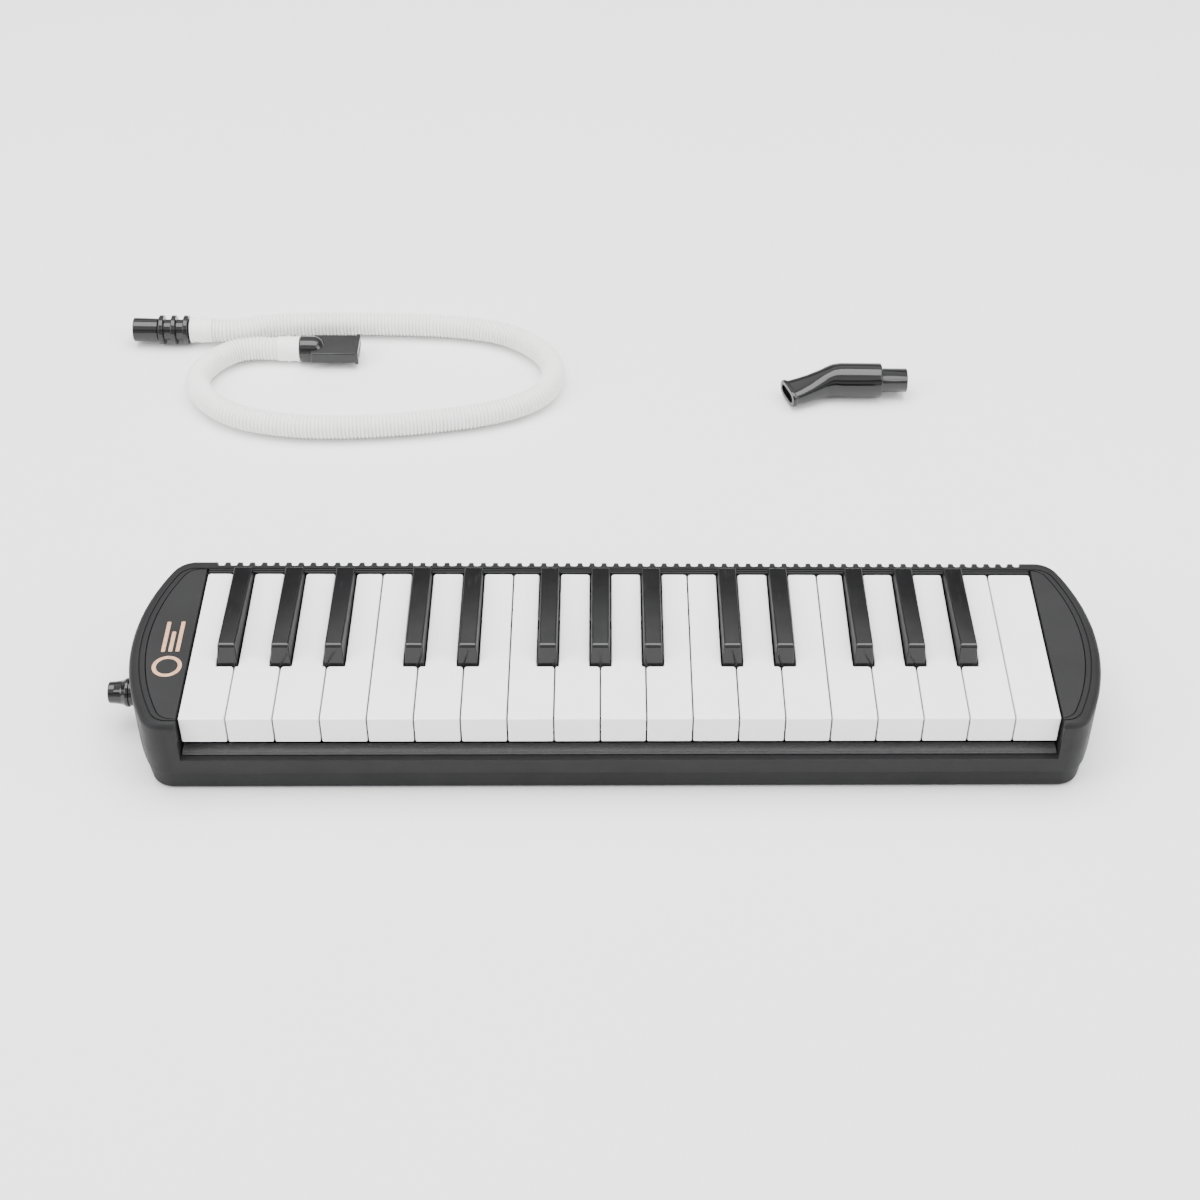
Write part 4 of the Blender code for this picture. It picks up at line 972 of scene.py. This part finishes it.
def add_lower_casing():
    margin = 0.0012
    outline = whole_outline((margin, margin, margin), CORNER_RADIUS - margin)

    def tray(shape):
        rings = [level(shape, inset(outline, shrink), -z)
                 for shrink, z in reversed(soft_edge(0.0020, 0.0, 6))]
        rings.append(level(shape, outline, SPLIT_Z))
        rings.append(level(shape, inset(outline, WALL), SPLIT_Z))
        rings.append(level(shape, inset(outline, WALL), FLOOR))
        skin(shape, rings)

    casing = piece_of("lower_casing_look", tray)
    combine(casing, lambda s: at_screws(s, BOSS_RADIUS, FLOOR - 0.0005, SPLIT_Z - 0.0001), "UNION")
    combine(casing, lambda s: at_screws(s, SCREW_BORE_RADIUS, -0.001, SPLIT_Z + 0.001, 16))
    combine(casing, lambda s: at_screws(s, SCREW_HEAD_RADIUS + GAP * 1.5, -0.001, 0.0026))
    soften(casing)
    finish_piece(casing, "casing", "casing", ["lower_casing"])


def add_end_panels():
    for name, end_x in (("left_end_panel", LEFT_END_X), ("right_end_panel", RIGHT_END_X)):
        panel = piece_of(name + "_look", lambda s: prism(
            s, panel_outline(end_x), CASING_TOP_Z - PANEL_THICKNESS, CASING_TOP_Z, soft=0.00025))
        finish_piece(panel, "panel", "casing", [name])


MARK_CENTRE = (-0.1851, -0.0174)
MARK_RING = (0.0060, 0.0044)
MARK_BARS = ((-0.0037, 0.0085, 0.0180), (-0.0008, 0.0086, 0.0120), (0.0021, 0.0087, 0.0180))
MARK_BAR_WIDTH = 0.0016


def add_mark():
    """Generic stamped mark: a plain ring and three bars."""
    x, y = MARK_CENTRE
    low, high = CASING_TOP_Z - 0.00001, CASING_TOP_Z + 0.00005

    def build(shape):
        outer, inner = MARK_RING
        rings = [level(shape, circle(x, y, radius, 64), z)
                 for radius, z in ((outer, low), (outer, high), (inner, high), (inner, low))]
        skin(shape, rings, closed=True)
        for left, start, length in MARK_BARS:
            bar = rectangle((x + left, y + start), (x + left + MARK_BAR_WIDTH, y + start + length), 0.0005)
            prism(shape, rounded(bar), low, high)

    finish_piece(piece_of("panel_mark", build), "foil", "casing", weighted=False)


# Ports and small parts

def add_nipple():
    """Blow nipple that flares into a flange just outside the casing."""
    base = -BLOCK_WALL_X - 2 * GAP - 0.0020 - NIPPLE_TIP_X
    end, flange, tube, tail, bore = 0.0424, 0.0061, 0.0056, 0.0040, 0.0032
    corners = [(0.0, 0.0045, 0.0005), (0.0026, 0.00465, 0.0010), (0.0056, 0.0051, 0.0020),
               (0.0074, flange, 0.0005), (0.0086, flange, 0.0003), (0.0086, tube, 0.0002),
               (base, tube, 0.0003), (base, tail, 0.0003), (end, tail, 0.0003),
               (end, bore, 0.0002), (0.0, bore, 0.0004)]
    nipple = piece_of("blow_nipple_look", lambda s: turned(
        s, rounded(corners), (NIPPLE_TIP_X, PORT_Y, PORT_Z), (1, 0, 0), sides=64))
    finish_piece(nipple, "black_gloss", "casing", ["blow_nipple"])


def add_drain_button():
    """Domed button on its stem, with the disc that seals the chest."""
    low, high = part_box("drain_button")
    head = high.x - low.x
    disc, stem, cap = 0.0034, 0.0013, 0.0038
    corners = [(0.0, 0.0, 0), (0.0, disc, 0.0003), (0.0012, disc, 0.0003), (0.0012, stem, 0.0002),
               (head - 0.0050, stem, 0.0002), (head - 0.0050, cap, 0.0003),
               (head - 0.0002, cap, 0.0008), (head, 0.0, 0)]
    button = piece_of("drain_button_look", lambda s: turned(
        s, solid_profile(corners), (low.x, PORT_Y, PORT_Z), (1, 0, 0), closed=False))
    finish_piece(button, "black_gloss", "drain", ["drain_button"])


def add_casing_screws():
    """Pan-head screws with a cross recess, heads down."""
    for spot in ("front_left", "back_left", "front_right", "back_right"):
        node = "casing_screw_" + spot
        low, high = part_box(node)
        centre = Vector(((low.x + high.x) / 2, (low.y + high.y) / 2, low.z))
        length = high.z - low.z
        pitch, crest, root, head = 0.0008, 0.0013, 0.0010, 0.0013
        corners = [(0.0, 0.0, 0), (0.0, SCREW_HEAD_RADIUS, 0.0006), (head, SCREW_HEAD_RADIUS, 0.0002),
                   (head, crest, 0.0001)]
        for k in range(int((length - 0.003) / pitch)):
            at = 0.0020 + pitch * k
            corners += [(at, root, 0), (at + pitch / 2, crest, 0)]
        corners += [(length, 0.0006, 0.0002), (length, 0.0, 0)]
        screw = piece_of(node + "_look", lambda s: turned(
            s, solid_profile(corners), centre, (0, 0, 1), sides=32, closed=False))
        for long, short in ((0.0016, 0.00035), (0.00035, 0.0016)):
            combine(screw, lambda s: box(s, (centre.x - long, centre.y - short, centre.z - 0.001),
                                         (centre.x + long, centre.y + short, centre.z + 0.0008)))
        finish_piece(screw, "steel", "casing", [node], angle=30)


def add_stop_felt():
    """Felt strip under the key fronts, with slightly uneven faces."""
    low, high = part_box("front_stop_felt")
    corners = [(low.y, low.z, 0.0004), (high.y, low.z, 0.0004),
               (high.y, high.z, 0.0005), (low.y, high.z, 0.0005)]

    def build(shape):
        section = rounded(corners, 3)
        count = 240
        rings = []
        for k in range(count + 1):
            x = low.x + (high.x - low.x) * k / count
            sway = 0.00008 * math.sin(k * 0.71) + 0.00005 * math.sin(k * 1.93)
            rings.append([shape.verts.new((x, p.x, p.y - (abs(sway) if p.y > low.z + 0.001 else 0.0)))
                          for p in section])
        skin(shape, rings)

    strip = piece_of("stop_felt_look", build)
    finish_piece(strip, "felt", "casing", ["front_stop_felt"])


def finish_inner_parts():
    """Better materials for the CAD parts that stay inside the casing."""
    finishes = {"wind_chest": "chest", "wind_chest_cover": "chest", "wind_chest_gasket": "rubber",
                "reed_plate": "brass", "reeds": "brass", "pivot_brackets": "casing",
                "key_pivot_rod": "steel", "key_springs": "steel", "nipple_seal": "rubber",
                "drain_spring": "steel", "drain_seal": "rubber"}
    for node, material in finishes.items():
        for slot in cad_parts[node].material_slots:
            slot.material = MATERIALS[material]


# Mouthpiece

# Sections of the bent end: (distance, half width, half height, drop, squareness, wall)
MOUTH_ROWS = [(0.0, 0.00865, 0.00865, 0.0, 2.0, 0.0034), (0.0040, 0.0080, 0.0082, 0.0002, 2.1, 0.0030),
              (0.0090, 0.0069, 0.0066, 0.0010, 2.3, 0.0022), (0.0160, 0.0071, 0.0050, 0.0020, 2.7, 0.0016),
              (0.0215, 0.0075, 0.0042, 0.0026, 3.0, 0.0014), (0.0264, 0.0078, 0.0037, 0.0030, 3.2, 0.0013)]
MOUTH_SIDES = 56
MOUTH_STEPS = 22
MOUTH_BEND_LENGTH = 0.0090


def mouth_row(distance):
    """Smoothly interpolated section at a distance along the bent end."""
    for first, second in zip(MOUTH_ROWS, MOUTH_ROWS[1:]):
        if distance <= second[0]:
            t = (distance - first[0]) / (second[0] - first[0])
            return [a + (b - a) * t for a, b in zip(first[1:], second[1:])]
    return list(MOUTH_ROWS[-1][1:])


def add_mouthpiece():
    z = BARREL_RADIUS + LIFT
    shoulder = MOUTHPIECE_LENGTH - PLUG_LENGTH
    barrel_end = shoulder - BARREL_LENGTH

    def build(shape):
        outer, inner = [], []

        def ring(place, heading, width, height, power):
            across = Vector((-math.sin(heading), math.cos(heading), 0.0))
            verts = []
            for k in range(MOUTH_SIDES):
                a = 2 * math.pi * k / MOUTH_SIDES
                c, s = math.cos(a), math.sin(a)
                verts.append(shape.verts.new(
                    place + across * width * math.copysign(abs(c) ** (2 / power), c)
                    + Vector((0, 0, height * math.copysign(abs(s) ** (2 / power), s)))))
            return verts

        def add(x, y, drop, heading, width, height, power, wall):
            place = Vector((MOUTHPIECE_X + x, MOUTHPIECE_Y + y, z - drop))
            if wall is not None:
                inner.append(ring(place, heading, width - wall, height - wall, power))
            outer.append(ring(place, heading, width, height, power))

        straight = [(MOUTHPIECE_LENGTH, PLUG_RADIUS - 0.0004, 0.0013),
                    (MOUTHPIECE_LENGTH - 0.0004, PLUG_RADIUS, None),
                    (shoulder + 0.0004, PLUG_RADIUS, 0.0017),
                    (shoulder + 0.0001, PLUG_RADIUS + 0.0002, None),
                    (shoulder, PLUG_RADIUS + 0.0006, None), (shoulder, BARREL_RADIUS - 0.0007, None),
                    (shoulder - 0.0002, BARREL_RADIUS - 0.0002, None),
                    (shoulder - 0.0008, BARREL_RADIUS, 0.0038), (barrel_end + 0.0100, BARREL_RADIUS, 0.0036)]
        for x, radius, wall in straight:
            add(x, 0.0, 0.0, 0.0, radius, radius, 2.0, wall)
        x, y, done = barrel_end, 0.0, 0.0
        for k in range(MOUTH_STEPS + 1):
            distance = MOUTH_ROWS[-1][0] * k / MOUTH_STEPS
            heading = MOUTH_BEND * min(1.0, (distance + done) / 2 / MOUTH_BEND_LENGTH)
            x -= (distance - done) * math.cos(heading)
            y -= (distance - done) * math.sin(heading)
            done = distance
            heading = MOUTH_BEND * min(1.0, distance / MOUTH_BEND_LENGTH)
            width, height, drop, power, wall = mouth_row(distance)
            add(x, y, drop, heading, width, height, power, wall)
        lip = [(0.0002, 0.0080, 0.0041, 0.0015), (0.0003, 0.0084, 0.0044, None),
               (0.0007, 0.0085, 0.0045, None), (0.0018, 0.0085, 0.0045, None),
               (0.0022, 0.0083, 0.0043, 0.0018)]
        for step, width, height, wall in lip:
            add(x - step * math.cos(MOUTH_BEND), y - step * math.sin(MOUTH_BEND), 0.0030, MOUTH_BEND,
                width, height, 3.2, wall)
        skin(shape, outer + list(reversed(inner)), closed=True)

    piece = piece_of("mouthpiece_look", build)
    finish_piece(piece, "black_gloss", "mouthpiece", ["mouthpiece"], angle=50,
                 weighted=False)


# Stage

# Height of a direction on the unit sphere and its share of the sky's brightness.
# The dark band gives the polished key tops something to reflect.
SKY = ((0.0, 0.62), (0.36, 0.62), (0.43, 0.10), (0.545, 0.10), (0.565, 1.0), (0.75, 1.0), (0.90, 0.75),
       (1.0, 0.75))
SKY_STRENGTH = 1.7


def add_stage():
    floor = piece_of("floor", lambda s: bmesh.ops.create_grid(
        s, x_segments=1, y_segments=1, size=4.0, matrix=Matrix.Translation((0, 1.0, -0.0002))))
    finish = Finish("floor", roughness=0.6).set(Specular_IOR_Level=0.2)
    finish.colour(finish.mottle((0.90, 0.90, 0.90), (0.88, 0.88, 0.88), 3.0))
    floor.data.materials.append(finish.material)
    world = bpy.data.worlds.new("world")
    world.use_nodes = True
    nodes, links = world.node_tree.nodes, world.node_tree.links
    background = nodes["Background"]
    background.inputs["Color"].default_value = (1.0, 1.0, 1.0, 1.0)
    split = nodes.new("ShaderNodeSeparateXYZ")
    ramp = nodes.new("ShaderNodeValToRGB")
    ramp.color_ramp.interpolation = "EASE"
    for height, _ in SKY[1:-1]:
        ramp.color_ramp.elements.new(height)
    for stop, (_, share) in zip(ramp.color_ramp.elements, SKY):
        stop.color = (share, share, share, 1.0)
    scale = nodes.new("ShaderNodeMath")
    scale.operation = "MULTIPLY"
    scale.inputs[1].default_value = SKY_STRENGTH
    links.new(nodes.new("ShaderNodeTexCoord").outputs["Generated"], split.inputs[0])
    links.new(split.outputs["Z"], ramp.inputs[0])
    links.new(ramp.outputs["Color"], scale.inputs[0])
    links.new(scale.outputs[0], background.inputs["Strength"])
    bpy.context.scene.world = world


def add_light(name, location, target, size, power):
    lamp = bpy.data.lights.new(name, "AREA")
    lamp.shape = "RECTANGLE"
    lamp.size, lamp.size_y = size
    lamp.energy = power
    holder = object_of(name, lamp)
    holder.location = location
    holder.rotation_euler = (Vector(target) - Vector(location)).to_track_quat("-Z", "Y").to_euler()


def add_lights():
    middle = (0.0, 0.08, 0.0)
    add_light("overhead", (0.0, 0.25, 1.5), middle, (1.8, 1.2), 52.0)
    add_light("left_fill", (-1.3, -0.5, 0.9), middle, (0.9, 0.9), 19.0)
    add_light("right_fill", (1.3, -0.4, 0.9), middle, (0.9, 0.9), 15.0)


add_camera()
add_blowing_hose()
add_keyboard()
add_upper_casing()
add_lower_casing()
add_end_panels()
add_mark()
add_nipple()
add_drain_button()
add_casing_screws()
add_stop_felt()
finish_inner_parts()
add_mouthpiece()
add_stage()
add_lights()
